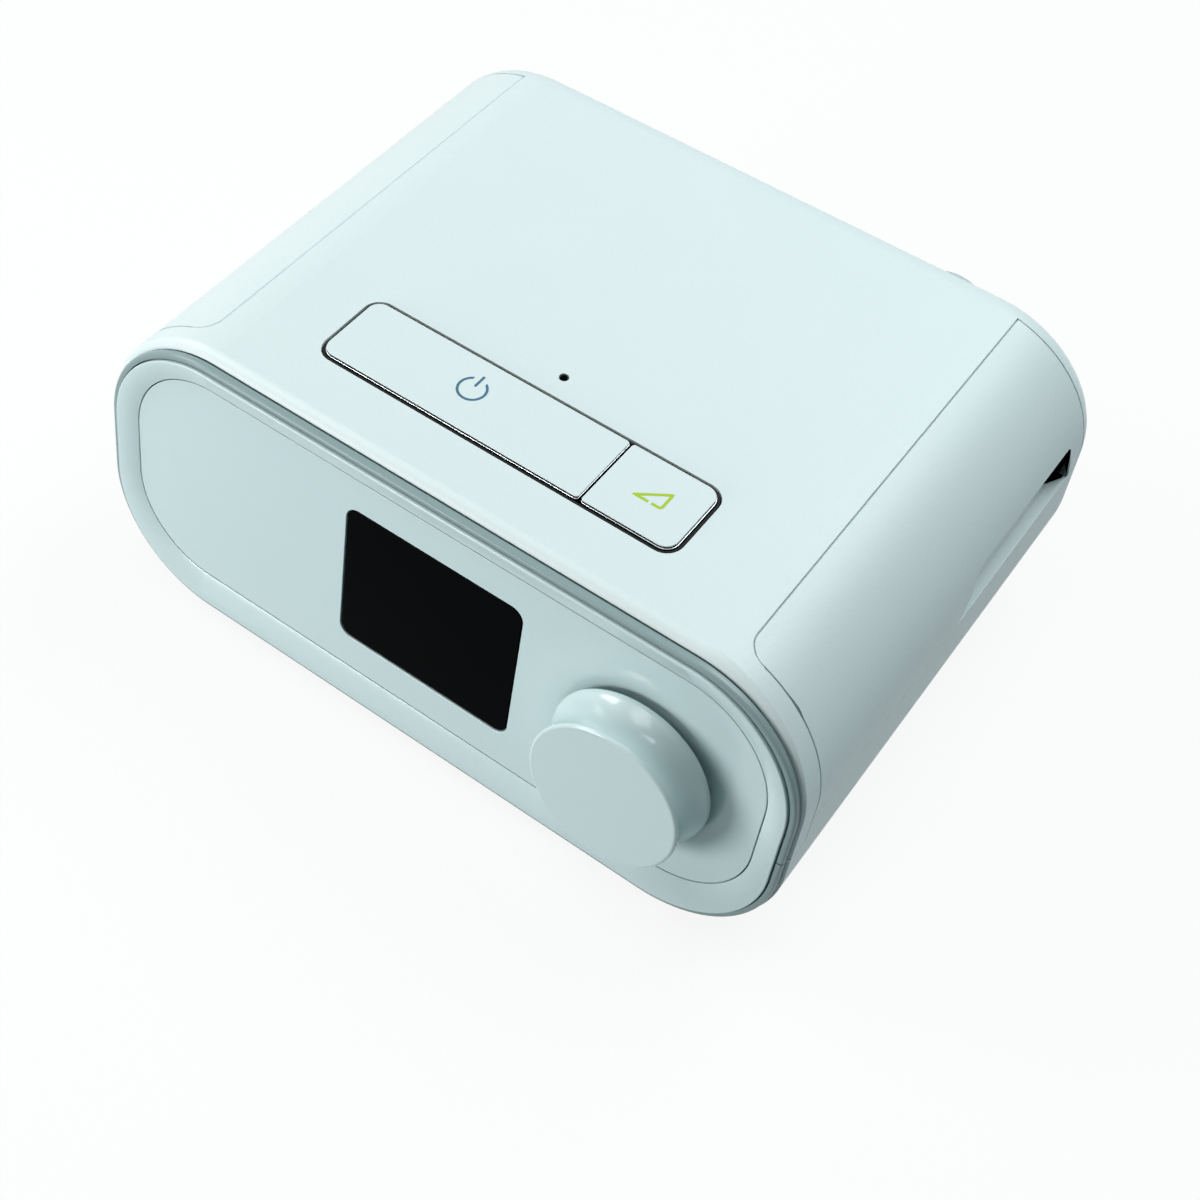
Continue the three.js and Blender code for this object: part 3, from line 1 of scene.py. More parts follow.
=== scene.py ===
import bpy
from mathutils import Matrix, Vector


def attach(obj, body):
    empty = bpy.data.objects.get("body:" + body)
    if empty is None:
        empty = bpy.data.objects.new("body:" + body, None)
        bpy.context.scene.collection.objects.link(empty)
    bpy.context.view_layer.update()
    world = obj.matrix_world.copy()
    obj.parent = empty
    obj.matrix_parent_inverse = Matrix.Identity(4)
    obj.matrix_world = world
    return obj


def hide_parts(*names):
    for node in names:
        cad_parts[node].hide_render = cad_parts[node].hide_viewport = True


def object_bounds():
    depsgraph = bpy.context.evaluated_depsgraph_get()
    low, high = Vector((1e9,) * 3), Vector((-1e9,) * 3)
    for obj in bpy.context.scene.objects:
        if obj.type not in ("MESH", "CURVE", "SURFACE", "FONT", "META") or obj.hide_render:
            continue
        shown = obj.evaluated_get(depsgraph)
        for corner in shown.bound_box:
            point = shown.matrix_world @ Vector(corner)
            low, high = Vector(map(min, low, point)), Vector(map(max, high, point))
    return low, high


bl_info = {
    "name": "Bedside breathing machine",
    "version": (1, 0, 0),
    "blender": (4, 5, 0),
    "location": "3D View > Sidebar > Breathing machine",
    "description": "Dresses the packed breathing machine with its housing, face, buttons, doors and finishes",
    "category": "Object",
}

import math

import bmesh
import bpy
from mathutils import Matrix, Vector

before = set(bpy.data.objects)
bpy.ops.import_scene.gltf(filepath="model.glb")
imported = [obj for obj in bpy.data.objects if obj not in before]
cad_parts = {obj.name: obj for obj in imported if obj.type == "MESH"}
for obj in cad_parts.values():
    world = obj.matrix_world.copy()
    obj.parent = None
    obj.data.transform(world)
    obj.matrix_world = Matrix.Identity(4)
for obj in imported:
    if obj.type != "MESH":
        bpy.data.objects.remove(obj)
CAD_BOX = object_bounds()

MM = 0.001
Y, Z = 1, 2

# The machine is modelled with y = 0 at the foot of its face, and then moved to its place in the frame.
PORT_END = 157 * MM
SHIFT = Vector((0, CAD_BOX[1].y - PORT_END, 0))
REACH = 240 * MM
OVERRUN = 2 * MM

# How near a corner counts as lying at a place
TOUCH = 0.005 * MM

# Gaps between pieces
SEAT = 0.3 * MM
SEAM = 0.4 * MM

# Facets of round forms
CORNER_STEPS = 24
ROUND_STEPS = 128
BORE_STEPS = 64
SMALL_STEPS = 32

# Edges: the rounding of small mouldings, and the angles from which an edge is rounded or shaded sharp
FINE_EDGE = 0.12 * MM
EDGE_ANGLE = math.radians(35)
SHARP_ANGLE = math.radians(32)

# Housing
WALL = 2.2 * MM
REAR_ROUND = 8 * MM
BEZEL_DEPTH = 5.6 * MM
BEZEL_ROUND = 0.3 * MM
FRONT_FACE = 2.9 * MM
FRONT_ROUND_DEPTH = 3.6 * MM
FRONT_ROUND_RISE = 2.8 * MM
BAND_WIDTH = 1.8 * MM
BAND_FRONT = 0.7 * MM
BAND_ROUND = 0.8 * MM

# Underside: places and radii of screws, feet and board posts
SCREW_X, SCREW_YS = 61.6 * MM, (44 * MM, 112 * MM)
BOSS_RADIUS, BOSS_TOP = 4.8 * MM, 12 * MM
SHANK_RADIUS, SHANK_TOP = 1.7 * MM, 14 * MM
HEAD_RADIUS, HEAD_TOP = 3.1 * MM, 7.3 * MM
FOOT_X, FOOT_YS = 56 * MM, (24 * MM, 126 * MM)
FOOT_HOLE_RADIUS, FOOT_HOLE_TOP = 7.3 * MM, 5.3 * MM
BOARD_POST_XS, BOARD_POST_YS = (-58.5 * MM, -38.5 * MM), (57 * MM, 99 * MM)
BOARD_POST_RADIUS, BOARD_POST_TOP = 2.5 * MM, 13.7 * MM

# Doors
PIVOT = Vector((79 * MM, 0, 74 * MM))
SWING_RADIUS = 7.15 * MM
SWING_FADE = 9.5 * MM
EYE_RADIUS = 3.2 * MM
PIN_RADIUS = 1.2 * MM
RIB_THICKNESS = 2 * MM
RIB_PLACES = (23 * MM, 135 * MM)
RIB_SPREAD = math.radians(11)
# Thickness of the black skin of painted shade on the air notch's undercut wall
SHADE_SKIN_THICKNESS = 0.2 * MM
NOTCH_TOOL_DEPTH = 25 * MM
UNDERCUT_SKIN = 0.45 * MM
UNDERCUT_SLOPE = 1.7

# Air inlet
SCOOP_DEPTH = 10 * MM
SCOOP_RISE = 11 * MM
SCOOP_WALL = 1.4 * MM
SCOOP_RIM_GAP = 0.4 * MM
SCOOP_LIP = 2 * MM
SCOOP_FOOT = 75.6 * MM
MOUTH_INNER = 82 * MM
MOUTH_SLANT = 1.96
MOUTH_RIM_GAP = 0.9 * MM
# The black lining of painted shade inside the mouth
SHADE_LINING_WALL = 0.35 * MM
SHADE_LINING_INNER = 75 * MM
SHADE_LINING_END_INNER = 83 * MM
SHADE_LINING_END_HEIGHT = 7.2 * MM

# Dial
DIAL_ROUND = 0.8 * MM
DIAL_WAIST = 4.2 * MM
DIAL_SHAFT_RADIUS = 3.3 * MM
DIAL_HUB_RADIUS = 6.2 * MM
PLUNGER_HOLE_RADIUS = 5.9 * MM
DISH_WALL = 2 * MM
SCREEN_RECESS = 0.2 * MM
SCREEN_THICKNESS = 1.7 * MM

# Buttons
POCKET_DEPTH = 6 * MM
TRAY_WALL = 0.6 * MM
TRAY_FLOOR = 1.4 * MM
TRAY_FLANGE = 3 * MM
TRAY_TOP_GAP = 0.3 * MM
TRAY_POST_FOOT = 70 * MM
BUTTON_GAP = 0.4 * MM
CAP_THICKNESS = 0.3 * MM
CAP_ROUND = 0.18 * MM
# The black layer of painted shade under each cap
SHADE_SEAL_THICKNESS = 0.35 * MM
SHADE_SEAL_INSET = 0.15 * MM
EDGE_LIP = 0.26 * MM
EDGE_LIP_DIVIDE = 0.05 * MM
EDGE_BOTTOM = 80.6 * MM
STEM_RADIUS = 2.2 * MM
STEM_LENGTH = 4.6 * MM
SENSOR_Y = 57.1 * MM
SENSOR_HOLE_RADIUS = 1.2 * MM

# Printed symbols
INK = 0.05 * MM
POWER_X, POWER_Y, POWER_RADIUS, POWER_STROKE = -13.5 * MM, 41 * MM, 3.35 * MM, 0.62 * MM
POWER_GAP = 1.7 * MM
POWER_BAR = (0.9 * MM, 4.6 * MM)
RAMP_CORNERS = ((31.1, 37.8), (39.2, 37.8), (39.2, 43.5))
RAMP_STROKE = 0.68 * MM
RAMP_ROUNDS = (0.95 * MM, 0.25 * MM)

# Rear
REAR_RECESS = 0.4 * MM
JACK_RADIUS = 6.5 * MM
JACK_BORE = 4.5 * MM
JACK_HALF = 8 * MM
LINK_HALF_WIDTH = 14 * MM
LINK_HALF_HEIGHT = 4.5 * MM
LINK_WALL = 1.5 * MM
COLLAR_HALF = 13 * MM
SLOT_X, SLOT_HALF_WIDTH, SLOT_HEIGHT = -44 * MM, 13 * MM, 1.8 * MM
SLOT_COUNT, SLOT_START, SLOT_PITCH = 5, 42 * MM, 5 * MM
CONTACT_COUNT, CONTACT_PITCH = 6, 3.6 * MM

# Air filter, as left, front, low and right, back, high
FILTER_LOW, FILTER_HIGH = (68.6 * MM, 86.3 * MM, 22.3 * MM), (73 * MM, 130.7 * MM, 54.7 * MM)
PLEATS, PLEAT_CUTS, PLEAT_DEPTH, PLEAT_MARGIN = 8, 31, 1.8 * MM, 3 * MM

# Light and floor, in metres
LAMP_AIM = Vector((0, 0, 50 * MM))
WHITE = (1.0, 1.0, 1.0)
LAMPS = (
    # Name, place, width, share of the power and colour
    ("left", (-0.75, -0.3, 0.65), 0.4, 0.61, WHITE),
    ("above", (-0.1, -0.12, 1.0), 0.4, 0.21, WHITE),
    ("rear", (0.24, 0.5, 0.88), 0.6, 0.9, (0.9, 1.0, 1.03)),
    ("front", (-0.4, -0.8, 0.12), 0.3, 0.62, WHITE),
)
SKY = (0.72, 0.95, 1.0)
FLOOR_BOUNCE, FLOOR_PAPER = "#95AAAD", "#EFF1F1"
FLOOR_GLOW = 0.89
FLOOR_SIZE = 6
PAPER_GRAIN, PAPER_RELIEF = 2.5 * MM, 0.1 * MM


def length(name, size, description):
    return bpy.props.FloatProperty(
        name=name, description=description, default=size * MM, unit="LENGTH", precision=5
    )


def turn(name, degrees, description):
    return bpy.props.FloatProperty(
        name=name, description=description, default=math.radians(degrees), subtype="ANGLE"
    )


def amount(name, value, description):
    return bpy.props.FloatProperty(name=name, description=description, default=value, min=0)


def linear(code):
    """An sRGB hex value as the linear colour that shaders use."""
    parts = [int(code[i : i + 2], 16) / 255 for i in (1, 3, 5)]
    return [c / 12.92 if c <= 0.04045 else ((c + 0.055) / 1.055) ** 2.4 for c in parts]


def colour(name, code, description):
    return bpy.props.FloatVectorProperty(
        name=name, description=description, default=linear(code), subtype="COLOR", size=3, min=0, max=1
    )


class HousingSizes(bpy.types.PropertyGroup):
    half_width: length("Half width", 96.5, "From the middle to either side")
    top: length("Top", 84, "Height of the top above the table")
    bottom: length("Bottom", 4, "Height of the underside above the table")
    back: length("Back", 147, "Where the rear of the housing ends")
    upper_radius: length("Upper edge radius", 31.4, "Rounding of the two long upper edges")
    lower_radius: length("Lower edge radius", 31, "Rounding of the two long lower edges")
    side_parting: length("Side parting", 48.1, "Height of the seam between the housings at the sides")
    front_parting: length("Front parting", 41, "Height of the same seam in the front strip")
    edge: length("Edge rounding", 0.3, "Rounding of the moulded edges along the seams")


class FaceSizes(bpy.types.PropertyGroup):
    lean: turn("Lean", 7.4, "How far the face leans back")
    foot: length("Foot", 2.5, "Height of the face plane's foot above the table")
    half_width: length("Bezel half width", 94, "From the middle to the side of the bezel")
    bottom: length("Bezel bottom", 4, "Lower edge of the bezel, up the face")
    top: length("Bezel top", 78.45, "Upper edge of the bezel, up the face")
    upper_radius: length("Bezel upper radius", 28.85, "Rounding of the upper corners")
    lower_radius: length("Bezel lower radius", 28.55, "Rounding of the lower corners")
    panel_half_width: length("Panel half width", 88.67, "From the middle to the side of the panel")
    panel_bottom: length("Panel bottom", 11.86, "Lower edge of the panel, up the face")
    panel_top: length("Panel top", 73.15, "Upper edge of the panel, up the face")
    panel_upper_radius: length("Panel upper radius", 24.2, "Rounding of the upper corners")
    panel_lower_radius: length("Panel lower radius", 22.15, "Rounding of the lower corners")
    panel_depth: length("Panel depth", 1.95, "How far the panel lies behind the bezel's rim")
    panel_thickness: length("Panel thickness", 2.5, "Wall of the panel")
    slope_width: length("Slope width", 4.53, "Width of the bezel's inward slope")
    screen_half_width: length("Screen half width", 24.6, "From the middle to the side of the screen")
    screen_bottom: length("Screen bottom", 22.1, "Lower edge of the screen, up the face")
    screen_top: length("Screen top", 63.85, "Upper edge of the screen, up the face")
    screen_radius: length("Screen corner radius", 3.5, "Rounding of the screen's corners")


class DialSizes(bpy.types.PropertyGroup):
    x: length("Across", 57.2, "From the middle to the dial's axis")
    height: length("Up the face", 40.7, "From the foot of the face to the dial's axis")
    face_radius: length("Face radius", 18.9, "Radius of the flat face")
    waist_radius: length("Waist radius", 18.2, "Smallest radius of the side")
    rim_radius: length("Rim radius", 20.2, "Radius of the foot of the side")
    projection: length("Projection", 11, "How far the face stands out of the bezel's rim")
    dish_radius: length("Dish radius", 27, "Radius of the hollow round the dial")
    dish_sink: length("Dish depth", 4.5, "Depth of the hollow round the dial")


class ButtonSizes(bpy.types.PropertyGroup):
    left: length("Left", -49.1, "Left end of the opening")
    right: length("Right", 48.1, "Right end of the opening")
    front: length("Front", 28.6, "Front edge of the opening")
    back: length("Back", 51.1, "Rear edge of the opening")
    divide: length("Divide", 23.5, "Where the two buttons meet")
    radius: length("Corner radius", 4.5, "Rounding of the opening's corners")
    proud: length("Height above the top", 0.8, "How far the caps stand out of the top")


class DoorSizes(bpy.types.PropertyGroup):
    seam_x: length("Seam across", 72.1, "From the middle to the door's upper seam")
    face_depth: length("Front seam depth", 8.8, "Depth of the front seam behind the face")
    back: length("Rear seam", 139.2, "Where the door ends at the rear")
    corner_radius: length("Corner radius", 5.2, "Rounding of the door's upper front corner")
    notch_front: length("Notch front", 83, "Front end of the air notch")
    notch_back: length("Notch back", 132, "Rear end of the air notch")
    notch_front_flare: length("Notch front run-out", 4.5, "How far its front end runs out at the foot")
    notch_back_flare: length("Notch rear run-out", 3.5, "How far its rear end runs out at the foot")
    notch_height: length("Notch height", 12.6, "Height of the air notch above the side seam")
    notch_front_radius: length("Notch front rounding", 5, "Rounding of the notch's front upper corner")
    notch_back_radius: length("Notch rear rounding", 2.5, "Rounding of the notch's rear upper corner")


class RearSizes(bpy.types.PropertyGroup):
    half_width: length("Plate half width", 70, "From the middle to the side of the rear plate")
    bottom: length("Plate bottom", 13, "Lower edge of the rear plate")
    top: length("Plate top", 75, "Upper edge of the rear plate")
    radius: length("Plate corner radius", 9, "Rounding of the plate's corners")
    port_x: length("Port across", 50, "From the middle to the hose port")
    port_z: length("Port height", 60.5, "Height of the hose port")
    port_radius: length("Port radius", 11, "Outer radius of the hose port")
    port_bore: length("Port bore", 9, "Inner radius of the hose port")
    jack_x: length("Socket across", -50, "From the middle to the power socket")
    jack_z: length("Socket height", 24, "Height of the power socket and the connector")


class Finishes(bpy.types.PropertyGroup):
    case: colour("Case", "#DDE8E7", "Fine-textured white ABS of the housing")
    case_shade: colour("Case, raised spots", "#D6E2E2", "The same on the raised spots of its texture")
    gloss: colour("Face", "#CADDDE", "Polished ABS of the bezel, panel and dial")
    band: colour("Band", "#84999A", "Painted band round the front")
    glass: colour("Screen", "#030405", "Black window in front of the display")
    black: colour("Black parts", "#0B0D0E", "Black ABS of tray and sockets")
    grey: colour("Grey parts", "#8F989B", "Grey glass-filled nylon of frames and blower")
    plate: colour("Rear plate", "#B9C3C5", "Grey ABS of the rear plate and port")
    filter_pad: colour("Filter", "#4C76AE", "Blue polyester filter pad")
    foam: colour("Foam", "#2B2D30", "Open-cell foam of the silencer")
    power_ink: colour("Power symbol", "#3D6B85", "Blue-grey ink of the power symbol")
    ramp_ink: colour("Ramp symbol", "#A9C800", "Lime ink of the ramp symbol")


class StageSettings(bpy.types.PropertyGroup):
    azimuth: turn("Camera azimuth", 32.876, "Round the machine from the front")
    elevation: turn("Camera elevation", 49.827, "Above the table")
    roll: turn("Camera roll", 4.004, "Turn about the view")
    place: bpy.props.FloatVectorProperty(
        name="Camera place", description="Where the camera stands", default=(0.16064, -0.26431, 0.39094),
        subtype="TRANSLATION", size=3,
    )
    shift: bpy.props.FloatVectorProperty(
        name="Camera shift", description="How far the picture's middle lies beside the view's",
        default=(0.03376, -0.08471), size=2,
    )
    focal_length: amount("Focal length", 56.952, "Of the camera, in mm")
    lamp_power: amount("Lamps", 7.4, "Power the lamps take their share of, in watts")
    sky: amount("Sky", 0.07, "Strength of the light from all round")


def sizes(group):
    return getattr(bpy.context.scene, "machine_" + group)


# Modelling helpers


def activate(piece):
    bpy.ops.object.select_all(action="DESELECT")
    piece.select_set(True)
    bpy.context.view_layer.objects.active = piece


def apply_place(piece):
    activate(piece)
    bpy.ops.object.transform_apply(location=True, rotation=True, scale=True)


def named(name):
    piece = bpy.context.object
    piece.name = name
    return piece


def edit(piece, kind=None):
    """Opens a piece in edit mode with all of it selected."""
    activate(piece)
    bpy.ops.object.mode_set(mode="EDIT")
    if kind:
        bpy.ops.mesh.select_mode(type=kind)
    bpy.ops.mesh.select_all(action="SELECT")


def close(piece, solid=False):
    """Leaves edit mode, after turning the faces of a solid outwards."""
    if solid:
        bpy.ops.mesh.select_all(action="SELECT")
        bpy.ops.mesh.normals_make_consistent(inside=False)
    bpy.ops.object.mode_set(mode="OBJECT")
    return piece


def pick(kind, test):
    """In edit mode, selects the vertices, edges or faces whose corners pass a test."""
    bpy.ops.mesh.select_mode(type=kind)
    bpy.ops.mesh.select_all(action="DESELECT")
    mesh = bmesh.from_edit_mesh(bpy.context.object.data)
    for part in {"VERT": mesh.verts, "EDGE": mesh.edges, "FACE": mesh.faces}[kind]:
        if test([part.co] if kind == "VERT" else [v.co for v in part.verts]):
            part.select_set(True)
    bmesh.update_edit_mesh(bpy.context.object.data)


def on_plane(axis, place):
    """A test for what lies on a plane across an axis."""
    return lambda corners: all(abs(corner[axis] - place) < TOUCH for corner in corners)


def along(axis, distance):
    return tuple(distance if i == axis else 0 for i in range(3))


def extrude(step):
    bpy.ops.mesh.extrude_region_move(TRANSFORM_OT_translate={"value": step})


def bevel(radius, steps, affect="EDGES"):
    bpy.ops.mesh.bevel(
        offset=radius, offset_type="OFFSET", segments=steps, profile=0.5, affect=affect, clamp_overlap=False
    )


def block(name, low, high):
    """A box between two corners, as a start for a piece or as a cutting tool."""
    low, high = Vector(low), Vector(high)
    bpy.ops.mesh.primitive_cube_add(size=1, location=(low + high) / 2)
    piece = named(name)
    piece.scale = high - low
    apply_place(piece)
    return piece


def upright_plane(name, place):
    bpy.ops.mesh.primitive_plane_add(size=1, location=place, rotation=(math.pi / 2, 0, 0))
    return named(name)


def rounded_plate(name, half, bottom, top, radii, y, middle=0, steps=CORNER_STEPS):
    """A flat rounded rectangle that faces forwards.

    The radii are for the corners at the upper right, upper left, lower left and lower right.
    """
    piece = upright_plane(name, (middle, y, (bottom + top) / 2))
    piece.scale = (2 * half, top - bottom, 1)
    apply_place(piece)
    edit(piece)
    corners = ((half, top), (-half, top), (-half, bottom), (half, bottom))
    for radius, (across, height) in zip(radii, corners):
        corner = Vector((middle + across, y, height))
        pick("VERT", lambda c: (c[0] - corner).length < TOUCH)
        bevel(radius, steps, "VERTICES")
    return close(piece)


def thicken(piece, distance, axis=Y):
    """Extrudes a flat piece into a closed solid."""
    edit(piece, "FACE")
    extrude(along(axis, distance))
    return close(piece, solid=True)


def lay_flat(piece, height):
    """Turns a plate drawn up the front into one that lies flat, its y taken from its height."""
    piece.matrix_world = Matrix.Translation((0, 0, height)) @ Matrix.Rotation(-math.pi / 2, 4, "X")
    apply_place(piece)
    return piece


def outline(name, points, y):
    """A flat piece through points (across, up), drawn by extruding one vertex after another."""
    piece = upright_plane(name, (0, y, 0))
    apply_place(piece)
    edit(piece, "VERT")
    bpy.ops.mesh.merge(type="CENTER")
    bpy.ops.transform.translate(value=(points[0][0], 0, points[0][1]))
    for (x0, z0), (x1, z1) in zip(points, points[1:]):
        extrude((x1 - x0, 0, z1 - z0))
    bpy.ops.mesh.select_all(action="SELECT")
    bpy.ops.mesh.edge_face_add()
    return close(piece)


def turned(name, profile, centre, steps=ROUND_STEPS, axis=Y):
    """A closed turned solid. The profile lists radius and place along the axis, from flat end to flat end."""
    radius, place = profile[0]
    spot = Vector(centre)
    spot[axis] = place
    bpy.ops.mesh.primitive_circle_add(
        vertices=steps, radius=radius, fill_type="NGON", location=spot,
        rotation=(0 if axis == Z else math.pi / 2, 0, 0),
    )
    piece = named(name)
    apply_place(piece)
    edit(piece, "FACE")
    for next_radius, next_place in profile[1:]:
        move = along(axis, next_place - place)
        extrude(move)
        spot += Vector(move)
        share = next_radius / radius
        scale = tuple(1 if i == axis else share for i in range(3))
        bpy.ops.transform.resize(value=scale, center_override=tuple(spot))
        radius, place = next_radius, next_place
    return close(piece, solid=True)


def rod(name, radius, centre, low, high, axis=Z, steps=SMALL_STEPS):
    return turned(name, [(radius, low), (radius, high)], centre, steps, axis)


def modify(piece, kind, **settings):
    activate(piece)
    bpy.ops.object.modifier_add(type=kind)
    modifier = piece.modifiers[-1]
    for key, value in settings.items():
        setattr(modifier, key, value)
    return modifier


def carve(piece, tool, operation="DIFFERENCE"):
    """Cuts a tool out of a piece."""
    modifier = modify(piece, "BOOLEAN", operation=operation, solver="EXACT", object=tool)
    bpy.ops.object.modifier_apply(modifier=modifier.name)
    bpy.data.objects.remove(tool)
    return piece


def join(piece, other):
    return carve(piece, other, "UNION")


def keep(piece, space):
    """Keeps the part of a piece that lies in a space."""
    return carve(piece, space, "INTERSECT")


def copy_of(piece, name):
    activate(piece)
    bpy.ops.object.duplicate()
    return named(name)


def mirrored(piece):
    """Turns a piece into its mirror image across the middle of the machine."""
    piece.scale = (-1, 1, 1)
    apply_place(piece)
    edit(piece)
    return close(piece, solid=True)


def lean(piece):
    """Puts a piece made in the frame of the face where it lies in the machine."""
    face = sizes("face")
    piece.matrix_world = Matrix.Translation((0, 0, face.foot)) @ Matrix.Rotation(-face.lean, 4, "X")
    apply_place(piece)
    return piece


def face_y(depth, height):
    """Where a plane this far behind the face lies at a height."""
    face = sizes("face")
    return (depth + (height - face.foot) * math.sin(face.lean)) / math.cos(face.lean)


def round_edges(piece, radius, steps, test):
    edit(piece)
    pick("EDGE", test)
    bevel(radius, steps)
    return close(piece)


def round_top(piece, radius, z):
    return round_edges(piece, radius, 4, on_plane(Z, z))


def finish(piece, material, node=None, edge=0.0, body="machine"):
    """Cleans a new piece, rounds its moulded edges, shades it and ties it to the frame."""
    edit(piece)
    bpy.ops.mesh.remove_doubles(threshold=0.02 * MM)
    bpy.ops.mesh.dissolve_degenerate(threshold=0.01 * MM)
    close(piece)
    piece.location = SHIFT
    apply_place(piece)
    if edge:
        modify(piece, "BEVEL", width=edge, segments=2, limit_method="ANGLE", angle_limit=EDGE_ANGLE)
    bpy.ops.object.shade_smooth_by_angle(angle=SHARP_ANGLE)
    modify(piece, "WEIGHTED_NORMAL", keep_sharp=True)
    piece.data.materials.clear()
    piece.data.materials.append(surface(material))
    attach(piece, body)
    if node:
        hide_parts(node)
    return piece


# Materials


def empty_tree(owner):
    owner.use_nodes = True
    owner.node_tree.nodes.clear()
    return owner.node_tree


def add_node(tree, kind, inputs=None, **settings):
    """Adds a node, makes its settings, and fills its sockets with values or links."""
    made = tree.nodes.new(kind)
    for key, value in settings.items():
        setattr(made, key, value)
    for key, value in (inputs or {}).items():
        if isinstance(value, bpy.types.NodeSocket):
            tree.links.new(value, made.inputs[key])
        else:
            made.inputs[key].default_value = value
    return made


# Each material is named for the real one, apart from the black of painted shade, and the comment above it
# says how that is made and what the eye sees. A row gives its tone, the tone of its raised spots (both from a
# finish or a hex code, or the second as a share of the first), the width of its grain and the height of its
# relief in mm, its lowest and its highest roughness, and the other sockets of its shader. Real grains, fibres
# and tool marks are 0.02 to 0.3 mm wide, too fine to show, and are drawn as coarse as they need to show. The
# wide grain of polished pieces is the slight waviness of the moulding.
MATERIALS = {
    # Injection-moulded with a fine spark-eroded grain: matt, so its light fades softly round the corners
    "fine_grained_white_abs": ("case", "case_shade", 0.8, 0.045, 0.42, 0.5, {"IOR": 1.53}),
    # The same resin from a polished mould: smooth enough to mirror the lamps with soft edges
    "polished_abs": ("gloss", 0.985, 6, 0.002, 0.13, 0.17, {"IOR": 1.53}),
    # Grey lacquer sprayed on ABS: satin, with a faint orange peel
    "grey_satin_lacquer": ("band", 0.94, 1.2, 0.004, 0.3, 0.36, {"IOR": 1.5}),
    # Acrylic printed black behind: a clear glossy front over solid black
    "black_backed_acrylic": ("glass", 1, 8, 0.001, 0.05, 0.08, {"IOR": 1.49, "Specular IOR Level": 0.01}),
    # Injection-moulded, lightly textured
    "black_moulded_abs": ("black", 1.3, 0.5, 0.006, 0.4, 0.5, {"Specular IOR Level": 0.2}),
    # Painted shade: a black that reflects nothing, laid in the air notch's mouth, on its undercut wall and
    # under the button caps, where there is only shade
    "black_nylon_flock": ("#08090A", "#0E1011", 0.5, 0.05, 0.9, 1.0, {"Specular IOR Level": 0.0}),
    # Chromium plated on ABS: a mirror with a slightly cool tone
    "chrome_plating": ("#D5DBDD", "#C9D0D3", 5, 0.001, 0.06, 0.1, {"Metallic": 1.0}),
    # Moulded with short glass fibres: dull, with fibres that show as a fleck
    "glass_filled_nylon": ("grey", 0.86, 0.8, 0.012, 0.5, 0.62, {"IOR": 1.53}),
    # Injection-moulded with a medium grain
    "grained_grey_abs": ("plate", 0.93, 0.6, 0.01, 0.45, 0.55, {"IOR": 1.53}),
    # Needled from loose fibres: rough, soft and full of small hollows
    "needled_polyester_fleece": (
        "filter_pad", 0.55, 0.9, 0.12, 0.85, 1.0, {"Sheen Weight": 0.4, "Sheen Roughness": 0.6}
    ),
    # Foamed, with round open pores of about a millimetre that swallow the light
    "open_cell_polyurethane_foam": ("foam", 1.9, 1.4, 0.35, 0.9, 1.0, {}),
    # Moulded: dark and dull, with the bloom of the mould
    "nitrile_rubber": ("#2C2F32", "#3A3E41", 0.7, 0.01, 0.75, 0.9, {"IOR": 1.52}),
    # Moulded translucent rubber: soft sheen and a little light inside
    "moulded_silicone": (
        "#B8C0C2", "#A7B0B3", 2, 0.01, 0.45, 0.6,
        {"IOR": 1.41, "Subsurface Weight": 0.15, "Subsurface Scale": 3 * MM},
    ),
    # Drawn bright, with fine tool marks
    "drawn_steel": ("#B4B9BC", "#9BA1A5", 0.3, 0.003, 0.22, 0.34, {"Metallic": 1.0}),
    # Copper wire under a clear amber varnish, with the ridges of its turns
    "enamelled_copper_wire": ("#B5713D", "#7E4423", 0.5, 0.06, 0.25, 0.4, {"Metallic": 1.0}),
    # Glass-fibre laminate under green solder resist: glossy over a faint weave
    "solder_resist_laminate": ("#1D6B45", "#175638", 1.1, 0.01, 0.25, 0.4, {"IOR": 1.55}),
    # Gold flash on brass contacts
    "gold_flash": ("#D9B45B", "#C39E48", 1, 0.001, 0.2, 0.28, {"Metallic": 1.0}),
    # Pad-printed ink: matt, with a slight mottle
    "blue_grey_pad_ink": ("power_ink", 0.9, 0.4, 0.001, 0.45, 0.55, {"IOR": 1.5}),
    "lime_pad_ink": ("ramp_ink", 0.9, 0.4, 0.001, 0.45, 0.55, {"IOR": 1.5}),
}
PORES = "open_cell_polyurethane_foam"
CLOUD = 20 * MM


def tone_of(source, base=None):
    """The linear colour of a hex code or of a finish, or a share of a base colour."""
    if not isinstance(source, str):
        return [v * source for v in base]
    return linear(source) if source.startswith("#") else getattr(sizes("finishes"), source)


